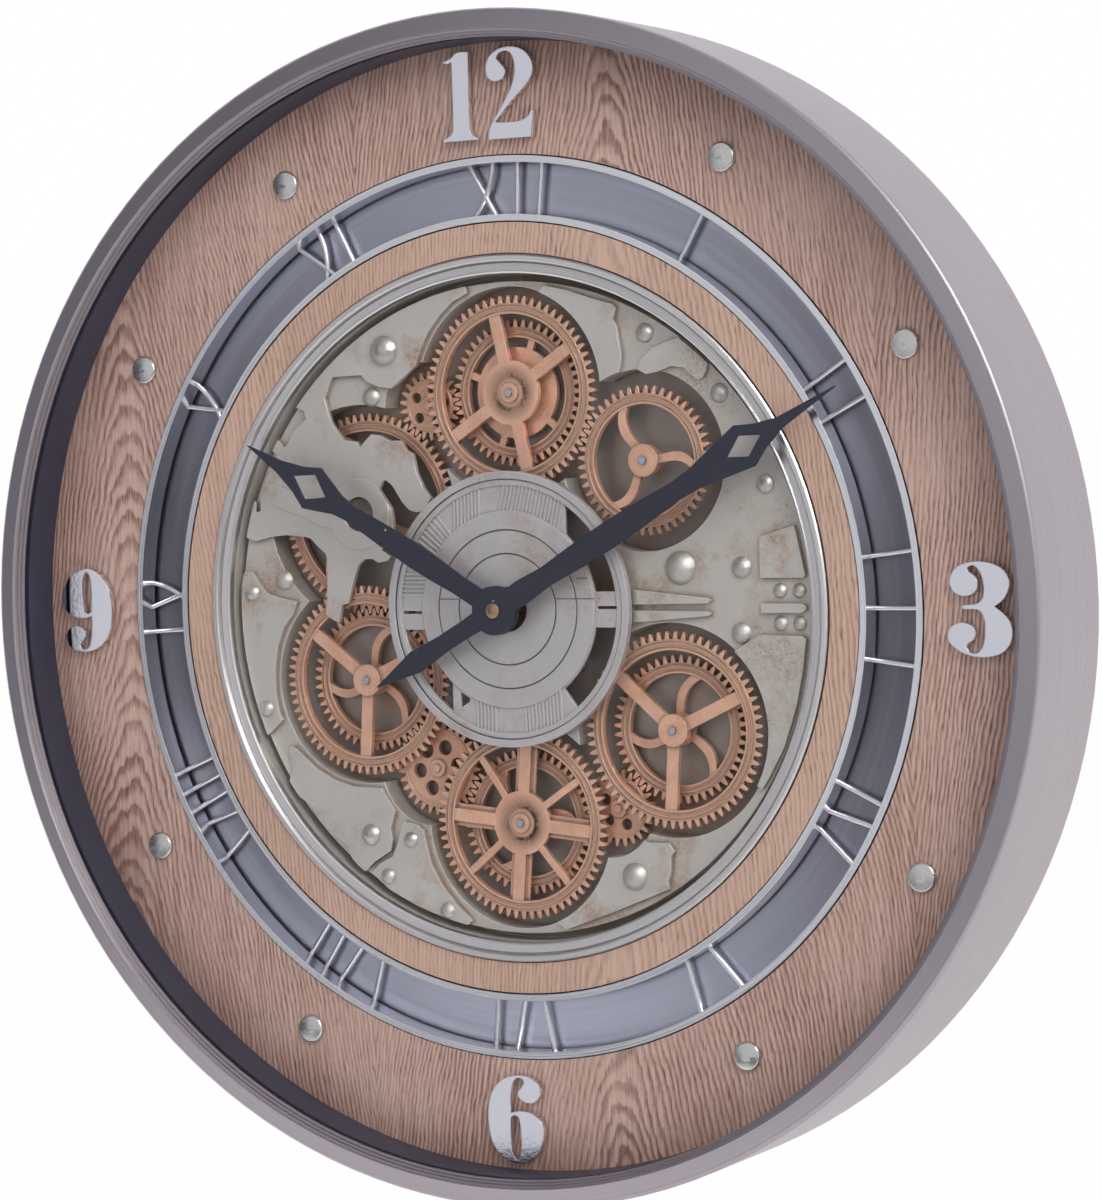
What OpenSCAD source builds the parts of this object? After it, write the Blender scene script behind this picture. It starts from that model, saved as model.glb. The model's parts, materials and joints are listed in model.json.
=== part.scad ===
// Gear wall clock: a deep drum case with a wooden dial, a ring of Roman strokes and an open
// train of copper wheels. Modelled upright, face towards -Y, back on the wall plane Y = 0,
// origin on the axis of the hands. Every module draws its piece lying on its back, with Z as
// the height above the wall, and upright() then stands it up.

/* [Wheel train] */
// Pitch diameter of a wheel for each of its teeth, in mm
tooth_module = 1.5; // [1.2:0.1:2]
// Thickness of a wheel
wheel_t = 3; // [2:0.5:5]
// Free height under the rear wheels
rear_wheel_gap = 3; // [2:0.5:6]
// Free height between the rear and the front wheels
wheel_level_gap = 4; // [2.5:0.5:7]
// Radius of the steel arbors
arbor_r = 1.9; // [1.5:0.1:2.4]
// Running clearance between a shaft and its bush
running_clearance = 0.06; // [0.03:0.01:0.09]

/* [Movement bay] */
// Free width between the widest wheel and the wall of the pan
movement_clear = 13; // [8:1:20]
// Thickness of the pan's sheet
pan_t = 2.5; // [1.5:0.5:4]
// Gap between the plates and the wall of the pan
plate_edge_gap = 4; // [2:0.5:6]
// Thickness of the raised plates
plate_t = 2.7; // [2:0.1:4]
// Air between the front wheels and the raised plates
plate_gap = 0.8; // [0.6:0.1:2]
// Air between the teeth and the wall of their recess
recess_gap = 4.5; // [3:0.5:6]
// Radius of the turned pillars
pillar_r = 3.5; // [2.5:0.5:4]

/* [Centre disc] */
// Outer radius of the centre disc
disc_r = 70.3; // [60:0.5:78]
// Thickness of the centre disc
disc_t = 3; // [2:0.5:5]
// Air between the plates and the centre disc
disc_gap = 2.5; // [1.5:0.5:5]
// Depth of the disc's face below the dial's face
disc_inset = 1; // [0.5:0.5:3]
// Width of the raised rim of the disc
disc_rim_w = 3.8; // [2.5:0.1:6]
// Radius of the hole round the hands' shaft
disc_hole_r = 11.5; // [8:0.5:14]

/* [Dial] */
// Thickness of the veneered boards
board_t = 5; // [3:0.5:8]
// Width of the inner wooden ring
inner_board_w = 15.4; // [12:0.1:20]
// Width of the visible outer wooden ring
outer_board_w = 56.5; // [50:0.5:70]
// Dark joint between wood and metal
joint_gap = 0.7; // [0.3:0.1:1]
// Width of the movement bezel
bezel_w = 9.5; // [7:0.5:12]
// Height of the bezel above the dial's face
bezel_proud = 1.6; // [1:0.1:3]

/* [Roman ring] */
// Clear width between the two bright bands
stroke_l = 26; // [22:0.5:32]
// Width of a bright band
band_w = 3.4; // [2.5:0.1:5]
// Height of the bands above the dial's face
band_proud = 0.6; // [0.3:0.1:1.5]
// Wall of the two hoops
hoop_t = 1.2; // [0.8:0.1:2]
// Radius of the round strokes
stroke_r = 1.4; // [0.8:0.1:1.6]
// Depth of the strokes below the dial's face
stroke_drop = 9; // [5:0.5:10]
// Depth of the channel's floor below the dial's face
channel_depth = 13; // [10:0.5:16]

/* [Numerals and studs] */
// Height of the Arabic numerals
numeral_h = 45; // [36:1:50]
// Thickness of the Arabic numerals
numeral_t = 3; // [1.5:0.5:4]
// Air between a numeral and the wood
numeral_lift = 1.5; // [0.5:0.5:2]
// Radius of an hour stud
stud_r = 7.5; // [4:0.5:8]
// Height of an hour stud
stud_h = 3; // [3:0.5:7]

/* [Hands] */
// Length of the minute hand from its axis
minute_l = 220; // [190:1:230]
// Length of the hour hand from its axis
hour_l = 172; // [140:1:185]
// Thickness of both hands
hand_t = 1.2; // [0.8:0.1:2]
// Radius of the round hub of both hands
hand_hub_r = 12.5; // [9:0.5:15]
// Height of the hour hand above the dial's face
hour_hand_lift = 9; // [7:0.5:12]
// Air between the two hands
hand_gap = 1.8; // [1:0.1:3]
// Angle of the minute hand, clockwise from the top
minute_angle = 60.8; // [0:0.1:360]
// Angle of the hour hand, clockwise from the top
hour_angle = 300.3; // [0:0.1:360]

/* [Case] */
// Width of the smooth front face of the rim
rim_face_w = 10; // [7:0.5:14]
// Width of the stepped grooves inside the rim
rim_groove_w = 4; // [3:0.5:6]
// Height of the solid rim above the gasket
rim_t = 6; // [4:0.5:9]
// Radius of the shoulder between face and wall
shoulder_r = 2.6; // [1.5:0.1:3.5]
// Wall of the drum
case_wall = 2; // [1.2:0.1:3]
// Free height between the dial and the glass
dial_to_glass = 21.2; // [18:0.1:30]
// Thickness of the glass
glass_t = 3; // [2:0.5:5]
// Thickness of the gasket
gasket_t = 0.8; // [0.5:0.1:1.5]
// Thickness of the dark liner
liner_t = 2.5; // [1.5:0.5:4]

/* [Back] */
// Thickness of the back panel
panel_t = 3; // [2:0.5:5]
// Free height for the movement and the motor
drive_space = 16.5; // [16:0.5:22]
// Radius of the service opening in the back panel
service_r = 52; // [45:1:58]
// Distance of the keyhole above the axis of the hands
keyhole_up = 250; // [200:5:262]
// Radius of the keyhole's round entry
keyhole_r = 5; // [4:0.5:6]
// Width of the keyhole's slot
keyhole_slot_w = 5; // [3.5:0.5:6]
// Side of the square quartz movement
quartz_w = 56; // [50:1:62]
// Radius of an AA cell
cell_r = 7.1; // [7:0.05:7.2]
// Length of an AA cell
cell_l = 50; // [49:0.5:50.5]

/* [Hidden] */
$fn = 96;
over = 1; // overrun of a cut past a face
fit_gap = 0.05; // gap round a pin in its hole, or a shaft in its wheel

// Teeth of each wheel and pinion
n_large = 64;
n_small = 48;
n_upper_left = 68;
n_pinion_a = 22;
n_pinion_b = 31;
n_pinion_c = 24;

// Outline of a tooth: place along the pitch, height in modules
tooth_shares = [[-0.31, -1.6], [-0.2, 0], [-0.085, 1], [0.085, 1], [0.2, 0], [0.31, -1.6]];
root_share = 1.6;

// Places of the wheels that are set by hand, in modules
top_wheel_shares = [0, 73.3];
bottom_wheel_shares = [0, -73.3];
left_wheel_shares = [-60.3, -25];
lower_right_wheel_shares = [59.3, -40.7];
upper_right_bearing = -25.4;
upper_left_bearing = 90.3;

function pitch_r(n) = n * tooth_module / 2;
function tip_r(n) = pitch_r(n) + tooth_module;
function root_r(n) = pitch_r(n) - root_share * tooth_module;
function polar(r, a) = r * [cos(a), sin(a)];
function clock(r, a) = r * [sin(a), cos(a)];
function clock_arc(r, a, b, steps) = [for (k = [0:steps]) clock(r, a + (b - a) * k / steps)];
function bearing(p, q) = atan2(q[1] - p[1], q[0] - p[0]);
// Point at distance a from p and b from q, to the left of the way from p to q if side is 1
function apex(p, a, q, b, side) =
  let (d = norm(q - p), u = (q - p) / d, s = (a * a - b * b + d * d) / (2 * d))
  p + s * u + side * sqrt(max(0, a * a - s * s)) * [-u[1], u[0]];
// Turn of a wheel of m teeth at q that meshes with one of n teeth at p turned by t
function mesh_turn(p, n, t, q, m) =
  let (a = bearing(p, q)) a + 180 - (0.5 - (a - t) * n / 360) * 360 / m;

top_at = top_wheel_shares * tooth_module;
bottom_at = bottom_wheel_shares * tooth_module;
left_at = left_wheel_shares * tooth_module;
lower_right_at = lower_right_wheel_shares * tooth_module;
upper_right_at = top_at + polar(pitch_r(n_large) + pitch_r(n_small), upper_right_bearing);
upper_left_at = left_at + polar(pitch_r(n_upper_left) + pitch_r(n_small), upper_left_bearing);
pinion_a_at = apex(top_at, pitch_r(n_small) + pitch_r(n_pinion_a),
  upper_left_at, pitch_r(n_upper_left) + pitch_r(n_pinion_a), -1);
pinion_b_at = apex(left_at, pitch_r(n_small) + pitch_r(n_pinion_b),
  bottom_at, pitch_r(n_small) + pitch_r(n_pinion_b), -1);
pinion_c_at = apex(bottom_at, pitch_r(n_small) + pitch_r(n_pinion_c),
  lower_right_at, pitch_r(n_small) + pitch_r(n_pinion_c), -1);

// Turns of the wheels at rest, each in mesh with the one before it
upper_right_turn = mesh_turn(top_at, n_large, 0, upper_right_at, n_small);
pinion_a_turn = mesh_turn(top_at, n_small, 0, pinion_a_at, n_pinion_a);
upper_left_turn = mesh_turn(pinion_a_at, n_pinion_a, pinion_a_turn, upper_left_at, n_upper_left);
left_turn = mesh_turn(upper_left_at, n_upper_left, upper_left_turn, left_at, n_small);
pinion_b_turn = mesh_turn(left_at, n_small, left_turn, pinion_b_at, n_pinion_b);
bottom_turn = mesh_turn(pinion_b_at, n_pinion_b, pinion_b_turn, bottom_at, n_small);
pinion_c_turn = mesh_turn(bottom_at, n_small, bottom_turn, pinion_c_at, n_pinion_c);
lower_right_turn = mesh_turn(pinion_c_at, n_pinion_c, pinion_c_turn, lower_right_at, n_small);

// Heights above the wall, each standing on the one before it
pan_back_z = panel_t + drive_space;
floor_z = pan_back_z + pan_t;
rear_z = floor_z + rear_wheel_gap;
front_z = rear_z + wheel_t + wheel_level_gap;
plate_z = front_z + wheel_t + plate_gap;
plate_face_z = plate_z + plate_t;
disc_z = plate_face_z + disc_gap;
dial_z = disc_z + disc_t + disc_inset;
board_z = dial_z - board_t;
tray_z = dial_z - channel_depth - hoop_t;
stroke_z = dial_z - stroke_drop;
hour_hand_z = dial_z + hour_hand_lift;
minute_hand_z = hour_hand_z + hand_t + hand_gap;
glass_z = dial_z + dial_to_glass;
gasket_z = glass_z + glass_t;
rim_z = gasket_z + gasket_t;
case_h = rim_z + rim_t;

// Radii, from the train outwards
train_reach = norm(lower_right_at) + tip_r(n_large);
pan_r = train_reach + movement_clear;
plate_r = pan_r - plate_edge_gap;
bezel_r = pan_r + bezel_w;
inner_board_r = bezel_r + joint_gap;
inner_board_out = inner_board_r + inner_board_w;
ring_in = inner_board_out + joint_gap;
stroke_in = ring_in + band_w;
stroke_out = stroke_in + stroke_l;
ring_out = stroke_out + band_w;
outer_board_r = ring_out + joint_gap;
liner_r = outer_board_r + outer_board_w;
ridge_r = liner_r + rim_groove_w;
case_r = ridge_r + rim_face_w;
case_in = case_r - case_wall;
board_out = case_in - joint_gap;

// Stands a piece up that is drawn on its back
module upright() { rotate([90, 0, 0]) children(); }

module tube(r_out, r_in, h) {
  difference() {
    cylinder(h = h, r = r_out);
    translate([0, 0, -over]) cylinder(h = h + 2 * over, r = r_in);
  }
}

// Case

rim_fall = 1.4; // fall of the front face towards the shoulder
lip_t = 1; // thickness of the rim at its inner edge
groove_shares = [[1, 1], [0.86, 0.8], [0.64, 0.72], [0.56, 0.42], [0.34, 0.36], [0.26, 0.06], [0, 0]];
lug_r = 6;
lug_h = 12;
lug_at = case_in - lug_r;
lug_count = 6;
lug_turn = 45;
screw_r = 1.75;
screw_head_r = 3.6;
screw_head_h = 2.2;
screw_point = 2; // what the screw stops short of the lug's top
shoulder_steps = 6;

function rim_profile() = concat(
  [[case_in, 0], [case_r, 0]],
  [for (k = [0:shoulder_steps]) let (a = 90 * k / shoulder_steps)
    [case_r - shoulder_r * (1 - cos(a)), case_h - rim_fall - shoulder_r * (1 - sin(a))]],
  [for (s = groove_shares) [liner_r + rim_groove_w * s[0],
    rim_z + lip_t + (case_h - rim_z - lip_t) * s[1]]],
  [[liner_r, rim_z], [case_in, rim_z]]);

module at_lugs() {
  for (k = [0:lug_count - 1]) rotate(-lug_turn - 360 * k / lug_count)
    translate([0, lug_at, 0]) children();
}

module case_ring() {
  color([0.5, 0.49, 0.5]) upright() {
    rotate_extrude() polygon(rim_profile());
    at_lugs() translate([0, 0, panel_t]) difference() {
      union() {
        cylinder(h = lug_h, r = lug_r);
        translate([-lug_r, 0, 0]) cube([2 * lug_r, lug_r, lug_h]);
      }
      translate([0, 0, -over]) cylinder(h = lug_h + 2 * over, r = screw_r + fit_gap);
    }
  }
}

module inner_liner() {
  color([0.2, 0.2, 0.25]) upright() translate([0, 0, dial_z])
    tube(liner_r + liner_t, liner_r, glass_z - dial_z);
}

module front_glass() {
  color([0.85, 0.92, 0.95, 0.25]) upright() translate([0, 0, glass_z])
    cylinder(h = glass_t, r = board_out);
}

module glass_gasket() {
  color([0.1, 0.1, 0.1]) upright() translate([0, 0, gasket_z])
    tube(board_out, liner_r + rim_groove_w / 2, gasket_t);
}

// Dial

marks_r = outer_board_r + outer_board_w * 0.45;
numeral_r = outer_board_r + outer_board_w * 0.53;
numeral_pin_r = 1.5;
numeral_collar_r = 2;
pin_depth_share = 0.8; // how far a pin enters its board
stud_pin_r = 1.5;
numeral_share = numeral_h / 45; // the outlines below are drawn 45 shares high

one_shares = [[-26.8, -22.4], [-26.8, -21.3], [-22.2, -19], [-20.9, -15.5], [-20.9, 17.7],
  [-23.4, 16.8], [-26.6, 17.7], [-23.4, 18.7], [-20.7, 19.9], [-17.6, 22.2], [-11.1, 22.2],
  [-11.1, -15.9], [-9.8, -19.4], [-6.1, -21.7], [-6.1, -22.4]];
two_shares = [[-0.9, 14.1], [1.2, 18.7], [6.6, 22.2], [12.8, 23], [18.9, 21.8], [23.9, 18],
  [26.2, 12.6], [25.1, 7.2], [20.4, 1.8], [14.3, -3.6], [8.1, -9.7], [3.9, -14.3], [12.8, -14.7],
  [18.9, -14.2], [22.8, -12.4], [24.8, -9.6], [26, -9.6], [24.3, -22.8], [-0.3, -22.8],
  [-0.2, -19.7], [0.8, -16.7], [4.3, -11.3], [9.7, -3.6], [13.5, 2.6], [15.6, 8.7], [15.8, 13.3],
  [14.7, 18], [12.8, 20.4], [9.7, 21], [6.6, 19.9], [5.3, 17.6], [7.4, 15.3], [9.7, 12.6],
  [10.3, 10.3], [8.9, 7.6], [5.1, 6.2], [2, 6.8], [-0.3, 9.1]];
three_shares = [[0.4, 22.7], [6.9, 21.6], [12.3, 18.7], [15.4, 13.3], [14.2, 7.9], [11.5, 4.1],
  [7.7, 1.4], [12.3, -2.1], [15.4, -5.9], [16.5, -10.5], [15.4, -15.9], [11.5, -20.2],
  [6.2, -22.1], [0, -22.6], [-6.9, -21.3], [-12.3, -18.6], [-15.8, -15.2], [-16.4, -11.7],
  [-14.6, -8.2], [-10.8, -6.3], [-6.9, -6.5], [-3.5, -8.2], [-2.1, -10.9], [-3.1, -14],
  [-5.8, -15.9], [-6.9, -17.5], [-5.4, -20.2], [-2.3, -20.9], [0.4, -19], [2.3, -14.4],
  [2.7, -9], [2.3, -4.4], [0.4, -0.9], [-2.3, 0.1], [-7.7, 0.2], [-9.1, 1.2], [-7.7, 2.1],
  [-2.3, 2.5], [0.8, 4.1], [2.2, 7.2], [2.2, 12.5], [0.8, 17.2], [-1.5, 20.2], [-3.5, 20.8],
  [-5.8, 19.8], [-5, 17.9], [-2.3, 16], [-0.6, 12.5], [-1.5, 9.1], [-4.6, 6.8], [-8.5, 6.4],
  [-12.3, 7.9], [-14.6, 11], [-14.8, 14.5], [-12.7, 18.7], [-8.5, 21.4], [-3.8, 22.5]];
six_shares = [[1.7, 22.6], [-5.3, 21], [-11.4, 16.4], [-14.9, 10.3], [-16.3, 1.8], [-15.8, -5.9],
  [-14.1, -12.8], [-11.4, -16.7], [-8.3, -19.7], [-3.7, -22], [0.1, -22.7], [5.5, -21.3],
  [10.9, -18.6], [14.7, -12.8], [16.3, -6.7], [15.9, -2.8], [13.2, 1], [8.6, 3.7], [3.2, 4.3],
  [-0.7, 3.7], [-2.8, 3], [-2.8, 8.7], [-2.2, 14.9], [-0.7, 19.5], [2, 21.3], [4.7, 20.7],
  [5.3, 18.7], [3.6, 16.4], [1.5, 13.7], [2, 11.4], [4.3, 9.5], [7.8, 8.6], [11.7, 9.5],
  [14.7, 13.3], [14.7, 15.7], [12.4, 19.5], [8.6, 21.8], [4, 22.6]];
six_hole_shares = [[-2.8, 0.7], [-0.7, 2], [1.7, 1], [2.7, -3.6], [3, -11.3], [2.4, -17.5],
  [0.5, -20.9], [-1.4, -19.7], [-2.8, -15.9], [-3.1, -8.2]];
twelve_pin_shares = [[-16, 15], [-16, -15], [20, 15], [12, -19.5]];
three_pin_shares = [[7.5, 11], [8, -12]];
six_pin_shares = [[-9, 8], [9, -8]];

sharp_turn = 48; // bend above which a corner of an outline stays sharp, in degrees
curve_steps = 4;

function turn_at(a, b, c) = let (u = b - a, v = c - b)
  acos(max(-1, min(1, u * v / norm(u) / norm(v))));
// Way in which a curve passes b, or the side's own way where b is a sharp corner
function way_at(a, b, c, side) = turn_at(a, b, c) > sharp_turn ? side / norm(side)
  : (c - a) / norm(c - a);
// Outline with curves through its points that keeps its sharp corners
function curved(p) = let (n = len(p)) [for (i = [0:n - 1])
  let (a = p[(i + n - 1) % n], b = p[i], c = p[(i + 1) % n], d = p[(i + 2) % n], l = norm(c - b),
    u = l * way_at(a, b, c, c - b), v = l * way_at(b, c, d, c - b))
  for (k = [0:curve_steps - 1]) let (t = k / curve_steps)
    (2 * t * t * t - 3 * t * t + 1) * b + (t * t * t - 2 * t * t + t) * u
      + (3 * t * t - 2 * t * t * t) * c + (t * t * t - t * t) * v];

module numeral_body(pin_shares) {
  translate([0, 0, dial_z + numeral_lift]) linear_extrude(numeral_t)
    scale(numeral_share) children();
  for (p = pin_shares) translate(numeral_share * p) translate([0, 0, dial_z]) {
    cylinder(h = numeral_lift + numeral_t / 2, r = numeral_collar_r);
    translate([0, 0, -board_t * pin_depth_share])
      cylinder(h = board_t, r = numeral_pin_r);
  }
}

module six_outline() {
  difference() {
    polygon(curved(six_shares));
    polygon(curved(six_hole_shares));
  }
}

module numeral_12() {
  color([0.82, 0.82, 0.86]) upright() translate([0, numeral_r, 0])
    numeral_body(twelve_pin_shares) {
      polygon(curved(one_shares));
      polygon(curved(two_shares));
    }
}

module numeral_3() {
  color([0.82, 0.82, 0.86]) upright() translate([numeral_r, 0, 0])
    numeral_body(three_pin_shares) polygon(curved(three_shares));
}

module numeral_6() {
  color([0.82, 0.82, 0.86]) upright() translate([0, -numeral_r, 0])
    numeral_body(six_pin_shares) six_outline();
}

module numeral_9() {
  color([0.82, 0.82, 0.86]) upright() translate([-numeral_r, 0, 0])
    numeral_body(-six_pin_shares) rotate(180) six_outline();
}

// Cap of a sphere with base radius r and height h, lying on its flat side
module dome(r, h) {
  ball_r = (r * r + h * h) / (2 * h);
  intersection() {
    translate([0, 0, h - ball_r]) sphere(ball_r);
    cylinder(h = 2 * h, r = 2 * r);
  }
}

// Studs: hour, how far each stands off its hour in degrees, and its place as a share of marks_r
stud_shares = [[1, 0.2, 1], [2, 0.5, 1.005], [4, -0.4, 1.018], [5, -0.7, 1.003], [7, -0.5, 0.995],
  [8, -0.2, 0.99], [10, 0.4, 0.996], [11, 0.5, 0.998]];
stud_face_share = 0.8; // nearly flat face of a stud over its radius
stud_crown_share = 0.075; // rise of that face over its radius
stud_shoulder_steps = 6;

module at_stud_hours() {
  for (s = stud_shares) translate(clock(marks_r * s[2], s[0] * 30 + s[1])) children();
}

// Low button with a rounded shoulder and a slightly domed face
module stud_body() {
  face_r = stud_r * stud_face_share;
  crown_h = face_r * stud_crown_share;
  shoulder = stud_r - face_r;
  face_z = stud_h - crown_h;
  rotate_extrude() polygon(concat([[0, 0], [stud_r, 0]],
    [for (k = [0:stud_shoulder_steps]) let (a = 90 * k / stud_shoulder_steps)
      [face_r + shoulder * cos(a), face_z - shoulder + shoulder * sin(a)]], [[0, face_z]]));
  translate([0, 0, face_z]) dome(face_r, crown_h);
}

module hour_studs() {
  color([0.8, 0.8, 0.84]) upright() at_stud_hours() {
    translate([0, 0, dial_z]) stud_body();
    translate([0, 0, dial_z - board_t * pin_depth_share])
      cylinder(h = board_t * pin_depth_share, r = stud_pin_r);
  }
}

module pin_holes(at, pin_shares) {
  for (p = pin_shares) translate(at + numeral_share * p)
    translate([0, 0, board_z - over])
      cylinder(h = board_t + 2 * over, r = numeral_pin_r + fit_gap);
}

module dial_outer() {
  color([0.6, 0.47, 0.4]) upright() difference() {
    translate([0, 0, board_z]) tube(board_out, outer_board_r, board_t);
    at_stud_hours() translate([0, 0, board_z - over])
      cylinder(h = board_t + 2 * over, r = stud_pin_r + fit_gap);
    pin_holes([0, numeral_r], twelve_pin_shares);
    pin_holes([numeral_r, 0], three_pin_shares);
    pin_holes([0, -numeral_r], six_pin_shares);
    pin_holes([-numeral_r, 0], -six_pin_shares);
  }
}

module dial_inner() {
  color([0.74, 0.6, 0.5]) upright() translate([0, 0, board_z])
    tube(inner_board_out, inner_board_r, board_t);
}

// Roman ring

band_t = 2;
// Strokes of each hour: bearings of the outer and the inner end from the hour, in degrees,
// and how far the stroke bows out
stroke_table = [
  [1, [[0, 0, 0]]],
  [2, [[-2.7, -2.7, 0], [2.6, 2.6, 0]]],
  [3, [[-7.2, -7.2, 0], [0, 0, 0], [7.2, 7.2, 0]]],
  [4, [[-4.7, -4.7, 0], [-1.8, -0.3, 0], [4, 2.6, 0]]],
  [5, [[-3.6, -2.3, 0], [3.4, 2, 0]]],
  [6, [[-4.2, -3.1, 0], [1.4, 0, 0], [4.6, 4.6, 0]]],
  [7, [[-6.1, -4.9, 0], [-0.2, -1.3, 0], [2.5, 2.5, 0], [5.4, 5.4, 0]]],
  [8, [[-6.2, -4.9, 0], [-0.8, -2.1, 0], [1.7, 1.7, 0], [4.4, 4.4, 0], [7.2, 7.2, 0]]],
  [9, [[-3.1, -3.1, 0], [0.2, 3, 0], [3.6, 0.2, 1]]],
  [10, [[-1.4, 1.8, 0], [2, -1.6, 1]]],
  [11, [[-3.4, 0, 0], [0.4, -3, 1], [3.2, 3.2, 0]]],
  [12, [[-5, -1.3, 0], [-1.5, -5.2, 1], [2.2, 2.2, 0], [5.8, 5.8, 0]]]];
bow_share = 0.09; // rise of a bowed stroke over its length

// Straight stroke from p to q, or one that bows to its left
module stroke(p, q, bow) {
  l = norm(q - p);
  translate([p[0], p[1], stroke_z]) rotate(bearing(p, q))
    if (bow == 0) rotate([0, 90, 0]) cylinder(h = l, r = stroke_r);
    else {
      rise = l * bow_share;
      bow_r = (l * l / 4 + rise * rise) / (2 * rise);
      half = asin(l / 2 / bow_r);
      translate([l / 2, rise - bow_r, 0]) rotate(90 - half)
        rotate_extrude(angle = 2 * half) translate([bow_r, 0]) circle(stroke_r, $fn = 32);
    }
}

module roman_ring() {
  skirt_z = stroke_z - stroke_r - hoop_t / 2;
  band_z = dial_z + band_proud - band_t;
  color([0.75, 0.75, 0.8]) upright() {
    translate([0, 0, band_z]) tube(ring_out, stroke_out, band_t);
    translate([0, 0, band_z]) tube(stroke_in, ring_in, band_t);
    translate([0, 0, skirt_z]) tube(stroke_out + hoop_t, stroke_out, band_z + band_t - skirt_z);
    translate([0, 0, skirt_z]) tube(stroke_in, stroke_in - hoop_t, band_z + band_t - skirt_z);
    for (row = stroke_table) for (s = row[1])
      stroke(clock(stroke_out + hoop_t / 2, row[0] * 30 + s[0]),
        clock(stroke_in - hoop_t / 2, row[0] * 30 + s[1]), s[2]);
  }
}

module channel_tray() {
  wall_h = dial_z + band_proud - band_t - tray_z;
  color([0.42, 0.42, 0.48]) upright() translate([0, 0, tray_z]) {
    tube(ring_out, ring_in, hoop_t);
    tube(ring_out, ring_out - hoop_t, wall_h);
    tube(ring_in + hoop_t, ring_in, wall_h);
  }
}

// Bezel and pan of the movement

bezel_shares = [[0, 0.62], [0.1, 0.7], [0.12, 0.58], [0.52, 0.62], [0.56, 0.5], [0.6, 0.62],
  [0.64, 0.94], [0.7, 1], [0.92, 1], [1, 0.9]];
flange_t = 1.5;
flange_share = 0.5; // how far the pan's flange reaches under the inner board
collar_r = arbor_r + 3;
collar_h = rear_wheel_gap - 0.2 * rear_wheel_gap;

module movement_bezel() {
  bezel_h = board_t + bezel_proud;
  color([0.78, 0.78, 0.82]) upright() rotate_extrude()
    polygon(concat([[bezel_r, board_z], [pan_r, board_z]],
      [for (s = bezel_shares) [pan_r + bezel_w * s[0], board_z + bezel_h * s[1]]]));
}

arbor_places = [top_at, upper_right_at, pinion_a_at, upper_left_at, left_at, pinion_b_at,
  bottom_at, pinion_c_at, lower_right_at];

module base_pan() {
  color([0.62, 0.61, 0.6]) upright() difference() {
    union() {
      translate([0, 0, pan_back_z]) cylinder(h = pan_t, r = pan_r + pan_t);
      translate([0, 0, pan_back_z])
        tube(pan_r + pan_t, pan_r, board_z - pan_back_z);
      translate([0, 0, board_z - flange_t])
        tube(inner_board_r + inner_board_w * flange_share, pan_r, flange_t);
      for (p = arbor_places) translate([p[0], p[1], pan_back_z])
        cylinder(h = pan_t + collar_h, r = collar_r);
    }
    for (p = arbor_places) translate([p[0], p[1], pan_back_z - over])
      cylinder(h = pan_t + collar_h + 2 * over, r = arbor_r + running_clearance);
    translate([0, 0, pan_back_z - over])
      cylinder(h = pan_t + 2 * over, r = bush_r + fit_gap);
  }
}

// Plates, drawn with 166 shares to their outer radius

plate_share = plate_r / 166;
upper_left_shares = [[-128, 106], [-123, 104], [-122, 99.5], [-131, 93], [-133, 88], [-136, 85],
  [-140, 89], [-144, 90], [-146, 86], [-141, 81], [-144, 77], [-147, 70], [-150, 65], [-152, 57],
  [-152, 52], [-155, 51], [-155, 57], [-160, 57], [-164, 45], [-165, 41], [-162, 38], [-156, 36],
  [-147, 38], [-137, 39], [-125, 38], [-121, 37], [-117, 33], [-112, 29], [-111, 25], [-112, 3],
  [-113, -3], [-108, -6], [-105, -7], [-103, 2], [-99, 3], [-96, 12], [-94, 18], [-92, 23],
  [-88, 26], [-83, 26], [-80, 24], [-74, 25], [-72, 27], [-78, 31], [-69, 32], [-66, 36],
  [-70, 41], [-70, 45], [-71, 52], [-76, 59], [-78, 62], [-76, 66], [-74, 67], [-70, 64],
  [-64, 55], [-60, 51], [-56, 50], [-51, 50], [-47, 57], [-51, 62], [-55, 70], [-57, 80],
  [-61, 82], [-64, 87], [-71, 87], [-77, 90], [-82, 90.5], [-87, 86], [-89, 84], [-91, 87],
  [-99, 88], [-106, 97], [-108, 103], [-110, 110], [-107, 117], [-105, 121], [-87, 121.5],
  [-84, 118], [-76, 115], [-69, 114], [-62, 119], [-54, 125], [-51, 133], [-46, 142], [-39, 150],
  [-31, 157], [-22, 161]];
top_right_shares = [[23, 163], [36, 160], [51, 155], [62, 152], [63.5, 150], [62, 144], [64, 141],
  [65, 133], [66, 129], [66, 124], [65, 119], [63.5, 114], [62, 112], [57, 110.5], [40, 112],
  [10, 150]];
small_island_shares = [[75, 119], [77, 124], [83, 129], [91, 132], [99, 134], [102, 132],
  [108, 126], [114, 121], [113, 117], [111, 113.5], [108, 113], [104, 116], [101, 119], [94, 120],
  [86, 117.5], [80, 116.5]];
right_upper_shares = [[140, 35], [159, 40.5], [164.5, 16], [163.5, 15], [140, 15]];
right_bar_shares = [[140, -2.2], [162, -2.2], [164.3, -0.8], [164.3, 1], [162, 2.4], [140, 2.4]];
right_lower_shares = [[139, -13], [162, -13.5], [164, -15], [162, -30], [158, -48], [151, -68],
  [143, -82], [138.5, -89], [110, -70], [110, -30]];
upper_rail_shares = [[69, 2], [69, 9.5], [111, 5.3], [113, 4.2], [111, 2.6]];
lower_rail_shares = [[69, -1], [69, -7], [111, -3.7], [113, -2.6], [111, -1.4]];
lower_right_shares = [[54, -122], [59, -120], [64, -115], [68, -113.5], [74, -117], [86, -117],
  [89, -121], [87, -124], [87, -131], [85, -137], [86, -140], [56, -152], [26, -163], [10, -150],
  [40, -120]];
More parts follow.
